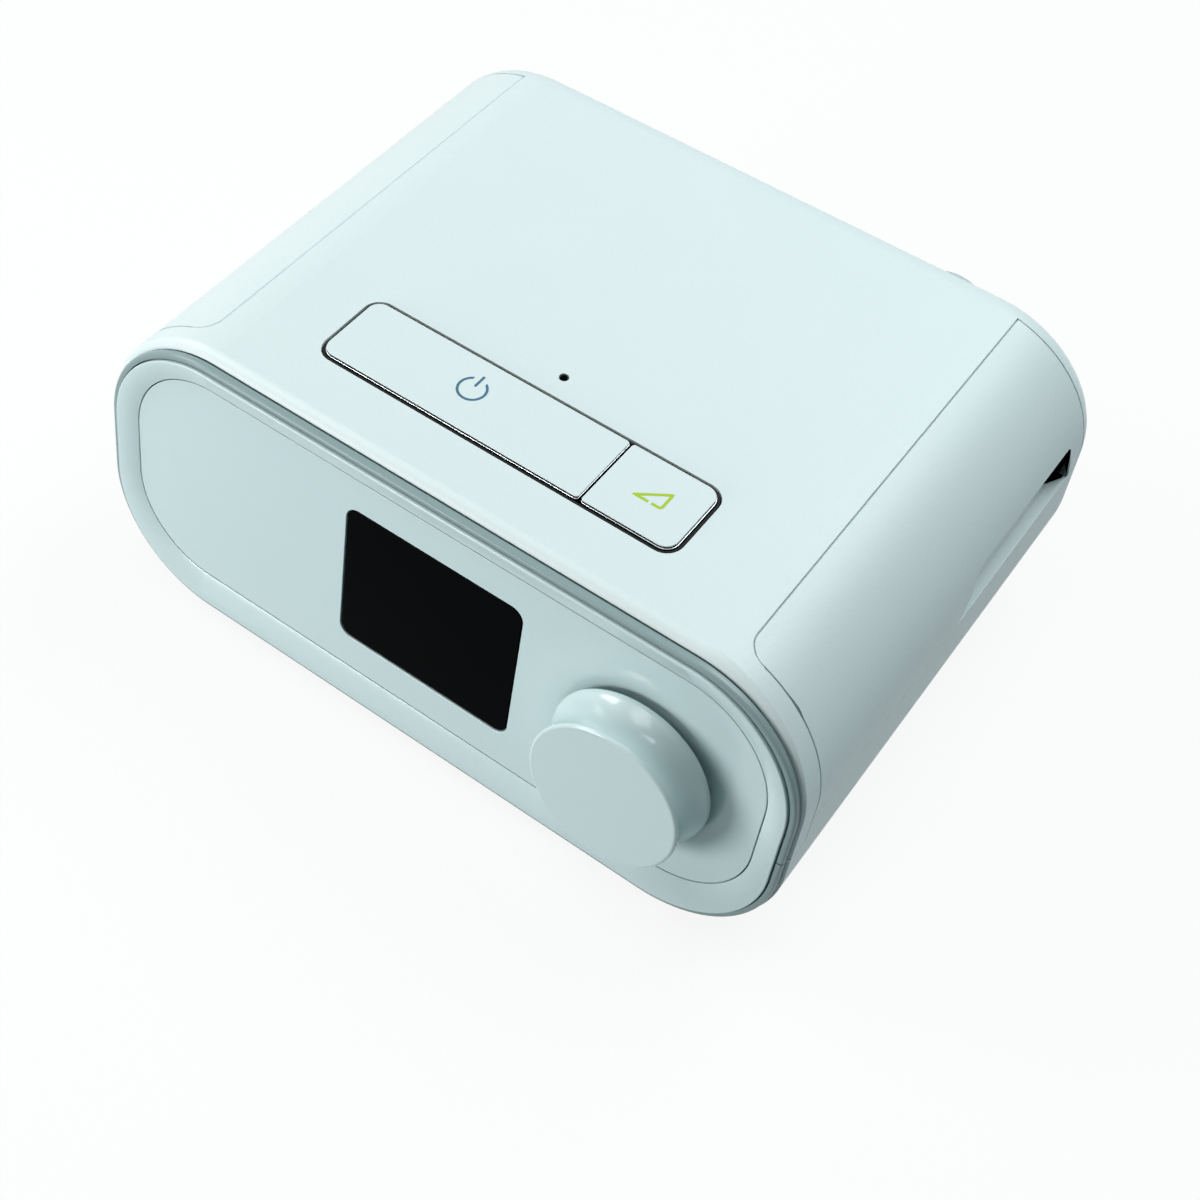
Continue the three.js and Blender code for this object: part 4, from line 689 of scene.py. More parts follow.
def surface(name):
    """A material whose colour, roughness and relief follow its grain, under a slow change of tone."""
    existing = bpy.data.materials.get(name)
    if existing:
        return existing
    first, second, grain, height, smooth, rough, sockets = MATERIALS[name]
    base = tone_of(first)
    material = bpy.data.materials.new(name)
    tree = empty_tree(material)
    place = add_node(tree, "ShaderNodeTexCoord").outputs["Object"]
    pattern, output = ("Voronoi", "Distance") if name == PORES else ("Noise", "Fac")
    texture = add_node(tree, "ShaderNodeTex" + pattern, {"Vector": place, "Scale": 1 / (grain * MM)})
    fine = texture.outputs[output]
    slow = add_node(tree, "ShaderNodeTexNoise", {"Vector": place, "Scale": 1 / CLOUD, "Detail": 2.0})
    both = add_node(
        tree, "ShaderNodeMix", {"Factor": 0.35, "A": fine, "B": slow.outputs["Fac"]}, data_type="FLOAT"
    )
    tone = add_node(tree, "ShaderNodeMix", {"Factor": both.outputs["Result"]}, data_type="RGBA")
    for socket, value in zip([s for s in tone.inputs if s.type == "RGBA"], (base, tone_of(second, base))):
        socket.default_value = (*value, 1)
    matt = add_node(tree, "ShaderNodeMapRange", {"Value": fine, "To Min": smooth, "To Max": rough})
    relief = add_node(tree, "ShaderNodeBump", {"Height": fine, "Distance": height * MM, "Strength": 1.0})
    shader = add_node(tree, "ShaderNodeBsdfPrincipled", {
        "Base Color": next(s for s in tone.outputs if s.type == "RGBA"),
        "Roughness": matt.outputs["Result"],
        "Normal": relief.outputs["Normal"],
        **sockets,
    })
    add_node(tree, "ShaderNodeOutputMaterial", {"Surface": shader.outputs["BSDF"]})
    return material


# Housing


def quarter(steps):
    """The angles of a quarter turn in even steps."""
    return [math.pi / 2 * i / steps for i in range(steps + 1)]


def shares(steps):
    return [i / steps for i in range(steps + 1)]


def four(upper, lower):
    return (upper, upper, lower, lower)


def rounded_body(name, inset):
    h = sizes("housing")
    radii = four(h.upper_radius - inset, h.lower_radius - inset)
    front = -h.top
    body = rounded_plate(name, h.half_width - inset, h.bottom + inset, h.top - inset, radii, front)
    thicken(body, h.back - inset - front)
    return round_edges(body, REAR_ROUND, 8, lambda c: all(p.y > h.back - inset - INK for p in c))


def front_envelope():
    """The space that the rounded front of the housing fills, open to the rear."""
    f = sizes("face")
    grow = BAND_WIDTH + FRONT_ROUND_RISE
    start = FRONT_FACE + FRONT_ROUND_DEPTH
    radii = four(f.upper_radius + grow, f.lower_radius + grow)
    tool = rounded_plate("front_envelope", f.half_width + grow, f.bottom - grow, f.top + grow, radii, start)
    edit(tool, "FACE")
    angles = [math.pi / 2 * (1 - share) for share in shares(6)]
    for outer, inner in zip(angles, angles[1:]):
        bpy.ops.mesh.inset(
            thickness=FRONT_ROUND_RISE * (math.sin(outer) - math.sin(inner)),
            depth=FRONT_ROUND_DEPTH * (math.cos(inner) - math.cos(outer)),
        )
    pick("EDGE", on_plane(Y, start))
    bpy.ops.mesh.extrude_region_move()
    bpy.ops.transform.resize(value=(3, 1, 3), center_override=(0, start, (f.bottom + f.top) / 2))
    extrude(along(Y, REACH))
    bpy.ops.mesh.edge_face_add()
    return lean(close(tool, solid=True))


def rear_outline(name, clearance, y):
    r = sizes("rear")
    radii = [r.radius - clearance] * 4
    half, bottom, top = r.half_width - clearance, r.bottom + clearance, r.top - clearance
    return rounded_plate(name, half, bottom, top, radii, y, steps=8)


def housing_shell(name):
    h = sizes("housing")
    shell = rounded_body(name, 0)
    keep(shell, front_envelope())
    carve(shell, rounded_body("inside", WALL))
    window = rear_outline("window", 0, h.back - REAR_ROUND - OVERRUN)
    return carve(shell, thicken(window, REAR_ROUND + 2 * OVERRUN))


def behind_face(depth):
    return lean(block("behind_face", (-REACH, depth, -REACH), (REACH, REACH + depth, REACH)))


def above_seam(gap):
    """The space above the seam between the two housings, which steps up behind the front strip."""
    h = sizes("housing")
    above = block("above_seam", (-REACH, -REACH, h.front_parting + gap), (REACH, REACH, h.top + OVERRUN))
    step = block("step", (-REACH, -REACH, h.front_parting - OVERRUN), (REACH, REACH, h.side_parting + gap))
    keep(step, behind_face(sizes("doors").face_depth - gap))
    return carve(above, step)


def door_space(gap):
    """The space of the right-hand door. Its upper edge is turned about the hinge, so that it rolls under."""
    h = sizes("housing")
    d = sizes("doors")
    centre = h.half_width - h.upper_radius

    def surface_z(x):
        return h.top - h.upper_radius + math.sqrt(h.upper_radius**2 - max(x - centre, 0) ** 2)

    def radius_at(x):
        return math.hypot(x - PIVOT.x, surface_z(x) - PIVOT.z) + gap

    inner = d.seam_x + d.corner_radius
    corner_y = face_y(d.face_depth, surface_z(inner))
    profile = [(radius_at(inner), -h.top)]
    for angle in quarter(10):
        across = d.seam_x + d.corner_radius * (1 - math.sin(angle))
        profile.append((radius_at(across), corner_y + d.corner_radius * (1 - math.cos(angle))))
    profile.append((radius_at(d.seam_x), d.back + gap))
    space = turned("door_space", profile, PIVOT, 2 * ROUND_STEPS)
    low = h.side_parting - gap
    join(space, block("side", (PIVOT.x, -h.top, low - OVERRUN), (REACH, d.back + gap, h.top + OVERRUN)))
    keep(space, block("above", (-REACH, -REACH, low), (REACH, REACH, h.top + OVERRUN)))
    return keep(space, behind_face(d.face_depth - gap))


def flat_plate(name, left, front, right, back, radii, z, steps=8):
    """A rounded rectangle that lies flat and faces up."""
    plate = rounded_plate(name, (right - left) / 2, front, back, radii, 0, (left + right) / 2, steps)
    return lay_flat(plate, z)


def button_outline(name, inset, z):
    b = sizes("buttons")
    radii = [b.radius - inset] * 4
    return flat_plate(name, b.left + inset, b.front + inset, b.right - inset, b.back - inset, radii, z)


class MACHINE_OT_housing(bpy.types.Operator):
    """Models the upper and the lower housing shell"""

    bl_idname = "machine.housing"
    bl_label = "Housing"

    def execute(self, context):
        h = sizes("housing")
        shell = housing_shell("upper_shell")
        lower = copy_of(shell, "lower_shell")
        keep(shell, above_seam(SEAT / 2))
        space = door_space(SEAM / 2)
        other = mirrored(copy_of(space, "other_space"))
        carve(shell, space)
        carve(shell, other)
        under = h.top - WALL - OVERRUN
        carve(shell, thicken(button_outline("hole", 0, under), WALL + 2 * OVERRUN, Z))
        carve(shell, rod("eye", SENSOR_HOLE_RADIUS, (0, SENSOR_Y, 0), under, h.top + OVERRUN))
        finish(shell, "fine_grained_white_abs", "upper_housing", h.edge)

        carve(lower, above_seam(-SEAT / 2))
        floor = h.bottom + WALL / 2
        for side in (-1, 1):
            for y in SCREW_YS:
                at = (side * SCREW_X, y, 0)
                join(lower, rod("boss", BOSS_RADIUS, at, floor, BOSS_TOP))
                carve(lower, rod("shank_hole", SHANK_RADIUS, at, 0, SHANK_TOP))
                carve(lower, rod("head_hole", HEAD_RADIUS, at, 0, HEAD_TOP))
            for y in FOOT_YS:
                at = (side * FOOT_X, y, 0)
                carve(lower, rod("foot_hole", FOOT_HOLE_RADIUS, at, 0, FOOT_HOLE_TOP, steps=BORE_STEPS))
        for x in BOARD_POST_XS:
            for y in BOARD_POST_YS:
                join(lower, rod("board_post", BOARD_POST_RADIUS, (x, y, 0), floor, BOARD_POST_TOP))
        finish(lower, "fine_grained_white_abs", "lower_housing", h.edge)
        return {"FINISHED"}


# Doors


def door_rib(y):
    """A rib that holds the door's wall to the eye round its hinge pin."""
    h = sizes("housing")
    x0, z0 = h.half_width - h.upper_radius, h.top - h.upper_radius
    reach = h.upper_radius - WALL / 2
    aim = math.atan2(PIVOT.x - x0, PIVOT.z - z0)
    low = y - RIB_THICKNESS / 2

    def towards(angle):
        return (x0 + reach * math.sin(angle), z0 + reach * math.cos(angle))

    points = [
        (PIVOT.x - EYE_RADIUS, PIVOT.z),
        (PIVOT.x + EYE_RADIUS / 2, PIVOT.z - 0.8 * EYE_RADIUS),
        towards(aim + RIB_SPREAD),
        towards(aim - RIB_SPREAD / 2),
    ]
    rib = thicken(outline("rib", points, low), RIB_THICKNESS)
    return join(rib, rod("eye", EYE_RADIUS, PIVOT, low, low + RIB_THICKNESS, Y))


def swing_clearance():
    """What the door's front edge leaves free to turn past the leaning front strip.

    It is deepest near the hinge and fades out, so that the seam stays even where the edge clears the strip.
    """
    depth = sizes("doors").face_depth
    near = face_y(depth - 0.15 * MM, PIVOT.z + SWING_RADIUS)
    far = face_y(depth + SEAM / 2, PIVOT.z - 0.4 * MM)
    profile = [(SWING_FADE, 0)]
    for share in shares(8):
        blend = share * share * (3 - 2 * share)
        profile.append((SWING_FADE + (SWING_RADIUS - SWING_FADE) * share, far + (near - far) * blend))
    return turned("swing_clearance", profile, PIVOT)


def door_blank(name):
    door = carve(rounded_body(name, 0), rounded_body("inside", WALL))
    keep(door, door_space(-SEAM / 2))
    for y in RIB_PLACES:
        join(door, door_rib(y))
    carve(door, rod("pin_hole", PIN_RADIUS + SEAT, PIVOT, 0, sizes("housing").back, Y))
    return carve(door, swing_clearance())


def notch_tool(name, outer):
    """The air notch as a cutting tool. Its ends run out at the foot, the front one in a curve."""
    h = sizes("housing")
    d = sizes("doors")
    foot, top = h.side_parting, h.side_parting + d.notch_height
    front, back = d.notch_front, d.notch_back
    first, last = d.notch_front_radius, d.notch_back_radius
    points = [(front - d.notch_front_flare, foot - OVERRUN)]
    for share in shares(6):
        flare = d.notch_front_flare * (1 - share) ** 2
        points.append((front - flare, foot + (d.notch_height - first) * share))
    for angle in quarter(8)[1:]:
        points.append((front + first * (1 - math.cos(angle)), top - first * (1 - math.sin(angle))))
    for angle in quarter(8):
        points.append((back - last * (1 - math.sin(angle)), top - last * (1 - math.cos(angle))))
    points += [(back + d.notch_back_flare, foot), (back + d.notch_back_flare, foot - OVERRUN)]
    inner = h.half_width - NOTCH_TOOL_DEPTH
    tool = thicken(outline(name, points, -outer), outer - inner)
    tool.matrix_world = Matrix.Rotation(math.pi / 2, 4, "Z")
    apply_place(tool)
    return tool


class MACHINE_OT_doors(bpy.types.Operator):
    """Models the two side doors with their hinge ribs, the air notch in the right-hand one and the black skin
    of painted shade on its undercut wall
    """

    bl_idname = "machine.doors"
    bl_label = "Side doors"

    def execute(self, context):
        h = sizes("housing")
        right = door_blank("right_door")
        left = mirrored(copy_of(right, "left_door"))
        shade_skin = copy_of(right, "notch_flock")
        carve(right, notch_tool("notch", REACH))
        undercut = notch_tool("undercut", h.half_width - UNDERCUT_SKIN)
        edit(undercut)
        pick("VERT", lambda c: c[0].x < h.half_width - WALL)
        bpy.ops.transform.translate(value=along(Y, UNDERCUT_SLOPE * NOTCH_TOOL_DEPTH))
        close(undercut)
        # The black skin of painted shade on the undercut wall is what the undercut takes from the wall and a
        # copy of it set a little forwards does not.
        ahead = copy_of(undercut, "ahead")
        ahead.location = Vector((1, -1 - UNDERCUT_SLOPE, 0.5)) * SHADE_SKIN_THICKNESS
        apply_place(ahead)
        keep(shade_skin, copy_of(undercut, "reach"))
        carve(shade_skin, ahead)
        finish(shade_skin, "black_nylon_flock", body="filter_door_body")
        carve(right, undercut)
        finish(right, "fine_grained_white_abs", "filter_door", h.edge, "filter_door_body")
        finish(left, "fine_grained_white_abs", "accessory_door", h.edge, "accessory_door_body")
        return {"FINISHED"}


class MACHINE_OT_scoop(bpy.types.Operator):
    """Models the sloping floor of the air notch and a black lining of painted shade in the mouth at its rear
    end
    """

    bl_idname = "machine.scoop"
    bl_label = "Air inlet scoop"

    def execute(self, context):
        h = sizes("housing")
        d = sizes("doors")
        foot, wall = h.side_parting, SCOOP_WALL
        low, outer = foot - WALL, h.half_width - WALL - SEAT
        inner, top = outer - SCOOP_DEPTH, foot + SCOOP_RISE
        rim = h.half_width - SCOOP_RIM_GAP
        front, back = d.notch_front - OVERRUN, d.notch_back + 2 * OVERRUN
        across, rise = rim - inner, top - foot - 0.2 * MM
        hollow = [(rim - across * math.sin(a), top - rise * math.cos(a)) for a in quarter(14)]
        inside = [(x, z) for x, z in hollow if x < outer]
        section = [
            (outer, low), (outer, inside[0][1]), *inside,
            (inner - wall, top), (inner - wall, top - wall), (inner + wall / 2, low + wall),
            (SCOOP_FOOT, low + wall), (SCOOP_FOOT, low),
        ]
        scoop = thicken(outline("scoop", section, front), back - front)
        lip = outer - SCOOP_LIP
        floor = [(rim, foot), *[(x, z) for x, z in hollow if x > lip], (lip, foot)]
        start, end = front + 0.2 * MM, d.notch_back + 2.4 * MM
        join(scoop, thicken(outline("floor", floor, start), end - start))
        mouth_low, mouth_high = foot - 0.1 * MM, top - wall
        carve(scoop, self.mouth("mouth", 0, mouth_low, mouth_high, back + OVERRUN))
        finish(scoop, "fine_grained_white_abs", "inlet_scoop", FINE_EDGE)

        # The lining is painted shade: a black skin inside the mouth, so that it shows as black as the shade
        # there.
        behind = back + 0.15 * MM
        shade_lining = self.mouth("inlet_lining", 0.05 * MM, mouth_low + 0.05 * MM, mouth_high, behind + 0.2 * MM)
        below = [(x - 0.1 * MM, z - 0.1 * MM) for x, z in hollow]
        below += [(SHADE_LINING_INNER, top), (SHADE_LINING_INNER, foot - OVERRUN), (rim, foot - OVERRUN)]
        keep(shade_lining, thicken(outline("below", below, 0), h.back))
        corners = (SHADE_LINING_END_INNER, behind, foot), (outer, behind + 2.4 * MM, foot + SHADE_LINING_END_HEIGHT)
        join(shade_lining, block("end", *corners))
        carve(shade_lining, self.mouth("hollow", 0.05 * MM + SHADE_LINING_WALL, foot + 0.3 * MM, top - 2 * INK, behind))
        finish(shade_lining, "black_nylon_flock")
        return {"FINISHED"}

    def mouth(self, name, inset, low, high, rear):
        """The space of the mouth, which opens along a slanting line towards the rear end of the notch.

        One that reaches far behind the notch steps in there, to stay inside the door's wall.
        """
        h = sizes("housing")
        notch_back = sizes("doors").notch_back
        edge = h.half_width - MOUTH_RIM_GAP - inset
        line = notch_back + 1.5 * MM + 2 * inset
        start = line - MOUTH_SLANT * (edge - MOUTH_INNER)
        slanted = [(edge, line), (MOUTH_INNER, start), (MOUTH_INNER, rear)]
        if rear > notch_back + 3 * MM:
            outer, step = h.half_width - WALL - SEAT, notch_back + 2.6 * MM
            shape = [*slanted, (outer, rear), (outer, step), (edge, step)]
        else:
            shape = [*slanted, (edge, rear)]
        return thicken(lay_flat(outline(name, shape, 0), low), high - low, Z)


# Front


def bezel_outline(name, grow, depth):
    f = sizes("face")
    radii = four(f.upper_radius + grow, f.lower_radius + grow)
    return rounded_plate(name, f.half_width + grow, f.bottom - grow, f.top + grow, radii, depth)


def panel_outline(name, grow, depth):
    f = sizes("face")
    radii = four(f.panel_upper_radius + grow, f.panel_lower_radius + grow)
    return rounded_plate(
        name, f.panel_half_width + grow, f.panel_bottom - grow, f.panel_top + grow, radii, depth
    )


def screen_outline(name, inset, depth):
    f = sizes("face")
    radii = [f.screen_radius - inset] * 4
    half, bottom, top = f.screen_half_width - inset, f.screen_bottom + inset, f.screen_top - inset
    return rounded_plate(name, half, bottom, top, radii, depth, steps=12)


class MACHINE_OT_band(bpy.types.Operator):
    """Models the narrow painted band round the front, in an upper and a lower half"""

    bl_idname = "machine.band"
    bl_label = "Front band"

    def execute(self, context):
        f = sizes("face")
        back = FRONT_FACE - SEAT
        band = thicken(bezel_outline("band", BAND_WIDTH, BAND_FRONT), back - BAND_FRONT)
        round_edges(band, BAND_ROUND, 5, on_plane(Y, BAND_FRONT))
        carve(band, thicken(bezel_outline("inside", SEAT, -OVERRUN), back + 2 * OVERRUN))
        split = (sizes("housing").front_parting - f.foot) / math.cos(f.lean)
        lower = copy_of(band, "lower_band")
        keep(lower, block("below", (-REACH, -REACH, -REACH), (REACH, REACH, split - SEAT / 2)))
        keep(band, block("above", (-REACH, -REACH, split + SEAT / 2), (REACH, REACH, REACH)))
        band.name = "upper_band"
        for piece, node in ((band, "upper_trim_band"), (lower, "lower_trim_band")):
            finish(lean(piece), "grey_satin_lacquer", node, FINE_EDGE)
        return {"FINISHED"}


def dish_profile(offset):
    """The hollow round the dial, from its rim to its middle."""
    d = sizes("dial")
    points = []
    for share in shares(24):
        share = 1 - share
        sink = d.dish_sink * (1 + math.cos(math.pi * share)) / 2
        points.append((max(d.dish_radius * share, INK), sizes("face").panel_depth + sink + offset))
    return points


class MACHINE_OT_face(bpy.types.Operator):
    """Models the sloping bezel and the glossy panel with its dish, and the screen window"""

    bl_idname = "machine.face"
    bl_label = "Bezel, panel and screen"

    def execute(self, context):
        f = sizes("face")
        d = sizes("dial")
        bezel = thicken(bezel_outline("bezel", 0, 0), BEZEL_DEPTH)
        round_edges(bezel, BEZEL_ROUND, 3, on_plane(Y, 0))
        mouth = thicken(panel_outline("mouth", f.slope_width, -OVERRUN), OVERRUN)
        edit(mouth)
        pick("FACE", on_plane(Y, 0))
        bpy.ops.mesh.inset(thickness=f.slope_width, depth=f.panel_depth)
        extrude(along(Y, BEZEL_DEPTH))
        carve(bezel, close(mouth))
        lean(bezel)
        inside = rounded_body("inside", WALL + SEAT)
        join(inside, lean(block("front", (-REACH, -OVERRUN, -OVERRUN), (REACH, FRONT_FACE - SEAT, REACH))))
        keep(bezel, inside)
        finish(bezel, "polished_abs", "front_bezel", 0.15 * MM)

        panel = thicken(panel_outline("panel", -SEAT, f.panel_depth), f.panel_thickness)
        at = (d.x, 0, d.height)
        under = [(d.dish_radius, f.panel_depth + f.panel_thickness / 2), *dish_profile(DISH_WALL)]
        join(panel, turned("bulge", under, at))
        carve(panel, turned("bowl", [(d.dish_radius, -OVERRUN), *dish_profile(0)], at))
        through = 3 * BEZEL_DEPTH
        carve(panel, thicken(screen_outline("window", 0, 0), through))
        carve(panel, rod("plunger_hole", PLUNGER_HOLE_RADIUS, at, 0, through, Y, BORE_STEPS))
        finish(lean(panel), "polished_abs", "front_panel", FINE_EDGE)

        glass = thicken(screen_outline("screen", SEAT, f.panel_depth + SCREEN_RECESS), SCREEN_THICKNESS)
        finish(lean(glass), "black_backed_acrylic", "display_window", 0.25 * MM)
        return {"FINISHED"}


class MACHINE_OT_dial(bpy.types.Operator):
    """Models the control dial with its concave side"""

    bl_idname = "machine.dial"
    bl_label = "Dial"

    def execute(self, context):
        d = sizes("dial")
        front = -d.projection
        start, waist, foot = front + DIAL_ROUND, front + DIAL_WAIST, -0.5 * MM
        profile = [(d.face_radius - DIAL_ROUND, front)]
        for angle in quarter(5)[1:]:
            radius = d.face_radius - DIAL_ROUND * (1 - math.sin(angle))
            profile.append((radius, front + DIAL_ROUND * (1 - math.cos(angle))))
        for share in shares(12)[1:]:
            radius = d.waist_radius + (d.face_radius - d.waist_radius) * (1 - share) ** 2
            profile.append((radius, start + (waist - start) * share))
        for share in shares(12)[1:]:
            radius = d.waist_radius + (d.rim_radius - d.waist_radius) * share**2
            profile.append((radius, waist + (foot - waist) * share))
        rim, ceiling, floor = d.rim_radius, front + 2.2 * MM, 3.9 * MM
        profile += [
            (rim, 0.3 * MM), (rim - 0.3 * MM, 0.7 * MM), (rim - 0.8 * MM, 0.85 * MM),
            (rim - 2.9 * MM, 0.85 * MM), (d.waist_radius - 2.2 * MM, waist),
            (d.face_radius - 4.4 * MM, ceiling), (DIAL_HUB_RADIUS, ceiling), (DIAL_HUB_RADIUS, floor),
            (DIAL_SHAFT_RADIUS, floor), (DIAL_SHAFT_RADIUS, front + 4.4 * MM),
        ]
        dial = turned("dial", profile, (d.x, 0, d.height), 2 * ROUND_STEPS)
        finish(lean(dial), "polished_abs", "control_dial", body="dial_body")
        return {"FINISHED"}


# Buttons


def button_plate(name, right, grow, z):
    """The flat shape of one button, which can be grown or, with a negative value, shrunk."""
    b = sizes("buttons")
    inset = SEAT + TRAY_WALL + BUTTON_GAP - grow
    radius = b.radius - inset
    square = radius * 0.25
    divide = BUTTON_GAP - min(grow, EDGE_LIP_DIVIDE)
    front, back = b.front + inset, b.back - inset
    if right:
        radii = (radius, square, square, radius)
        return flat_plate(name, b.divide + divide, front, b.right - inset, back, radii, z)
    radii = (square, radius, radius, square)
    return flat_plate(name, b.left + inset, front, b.divide - divide, back, radii, z)


class MACHINE_OT_buttons(bpy.types.Operator):
    """Models the tray, the two buttons with their chrome edges, symbols and a black layer of painted shade
    under each cap, and the light sensor's window
    """

    bl_idname = "machine.buttons"
    bl_label = "Buttons"

    def execute(self, context):
        b = sizes("buttons")
        top = sizes("housing").top
        under = top - WALL - SEAT
        cap_top = top + b.proud - INK
        cap_bottom = cap_top - CAP_THICKNESS
        edge_top = cap_bottom - SHADE_SEAL_THICKNESS
        middle = (b.front + b.back) / 2
        stems = ((b.left + b.divide) / 2, (b.divide + b.right) / 2)
        self.tray(top, under, middle, stems)
        for right, x, name in ((False, stems[0], "power"), (True, stems[1], "ramp")):
            body = name + "_button_body"
            cap = thicken(button_plate(name + "_cap", right, 0, cap_bottom), CAP_THICKNESS, Z)
            round_top(cap, CAP_ROUND, cap_top)
            finish(cap, "fine_grained_white_abs", name + "_button", body=body)
            # A thin black layer under each cap is painted shade: it stands in for the dark gap between the
            # cap and its chrome edge.
            shade_seal = thicken(button_plate(name + "_seal", right, -SHADE_SEAL_INSET, edge_top), SHADE_SEAL_THICKNESS, Z)
            finish(shade_seal, "black_nylon_flock", body=body)
            edge = button_plate(name + "_chrome_edge", right, EDGE_LIP, EDGE_BOTTOM)
            thicken(edge, edge_top - EDGE_BOTTOM, Z)
            round_top(edge, FINE_EDGE, edge_top)
            stem_low, stem_high = EDGE_BOTTOM - STEM_LENGTH, EDGE_BOTTOM + SEAT
            join(edge, rod("stem", STEM_RADIUS, (x, middle, 0), stem_low, stem_high))
            finish(edge, "chrome_plating", name + "_button_trim", body=body)

        self.power_symbol(cap_top)
        self.ramp_symbol(cap_top)
        profile = [
            (2.4 * MM, 80.3 * MM), (2.4 * MM, under), (0.9 * MM, under), (0.9 * MM, top - 0.2 * MM),
            (0.6 * MM, top - 0.05 * MM),
        ]
        eye = turned("sensor_eye", profile, (0, SENSOR_Y, 0), SMALL_STEPS, Z)
        finish(eye, "black_backed_acrylic", "light_sensor_window")
        return {"FINISHED"}

    def tray(self, top, under, middle, stems):
        """The black well round the buttons, with its flange under the top and two posts."""
        b = sizes("buttons")
        floor = top - POCKET_DEPTH
        well = button_outline("button_well", SEAT, floor - TRAY_FLOOR)
        tray = thicken(well, POCKET_DEPTH + TRAY_FLOOR - TRAY_TOP_GAP, Z)
        join(tray, thicken(button_outline("flange", -TRAY_FLANGE, under - TRAY_FLOOR), TRAY_FLOOR, Z))
        carve(tray, thicken(button_outline("pocket", SEAT + TRAY_WALL, floor), POCKET_DEPTH + OVERRUN, Z))
        for x in stems:
            carve(tray, rod("stem_hole", STEM_RADIUS + SEAT, (x, middle, 0), floor - 2 * OVERRUN, top))
        for x in (b.left + 2 * b.radius, b.divide - 2 * b.radius):
            join(tray, rod("post", STEM_RADIUS, (x, middle, 0), TRAY_POST_FOOT, floor - TRAY_FLOOR / 2))
        finish(tray, "black_moulded_abs", "button_tray", FINE_EDGE)

    def power_symbol(self, top):
        """A ring with a gap at the back and a bar through the gap."""
        x, y, half = POWER_X, POWER_Y, POWER_STROKE / 2
        low, deep, high = top - INK, top - 2 * INK, top + 2 * INK
        ring = rod("power_symbol", POWER_RADIUS + half, (x, y, 0), low, top + INK, steps=96)
        carve(ring, rod("hole", POWER_RADIUS - half, (x, y, 0), deep, high, steps=96))
        carve(ring, block("gap", (x - POWER_GAP, y, deep), (x + POWER_GAP, y + 2 * POWER_RADIUS, high)))
        near, far = POWER_BAR
        bar = flat_plate("bar", x - half, y + near, x + half, y + far, [0.2 * MM] * 4, low, steps=4)
        join(ring, thicken(bar, 2 * INK, Z))
        finish(ring, "blue_grey_pad_ink", body="power_button_body")

    def ramp_symbol(self, top):
        """A right triangle that rises to the right, open at one place of its foot."""
        low, deep, high = top - INK, top - 2 * INK, top + 2 * INK
        symbol = self.triangle("ramp_symbol", 0, RAMP_ROUNDS[0], low, top + INK)
        carve(symbol, self.triangle("inside", RAMP_STROKE, RAMP_ROUNDS[1], deep, high))
        carve(symbol, block("gap", (35.6 * MM, 37 * MM, deep), (36.4 * MM, 39 * MM, high)))
        finish(symbol, "lime_pad_ink", body="ramp_button_body")

    def triangle(self, name, inset, rounding, low, high):
        """The triangle of the ramp symbol with its sides moved inwards and its corners rounded."""
        corners = [Vector(corner) * MM for corner in RAMP_CORNERS]
        points = []
        for i, corner in enumerate(corners):
            before = (corners[i - 1] - corner).normalized()
            after = (corners[(i + 1) % 3] - corner).normalized()
            inwards = (before + after).normalized()
            half = before.angle(after) / 2
            points.append(tuple(corner + inwards * (inset / math.sin(half))))
        plate = outline(name, points, 0)
        edit(plate, "VERT")
        bevel(rounding, 5, "VERTICES")
        close(plate)
        return thicken(lay_flat(plate, low), high - low, Z)


# Rear, feet and inside


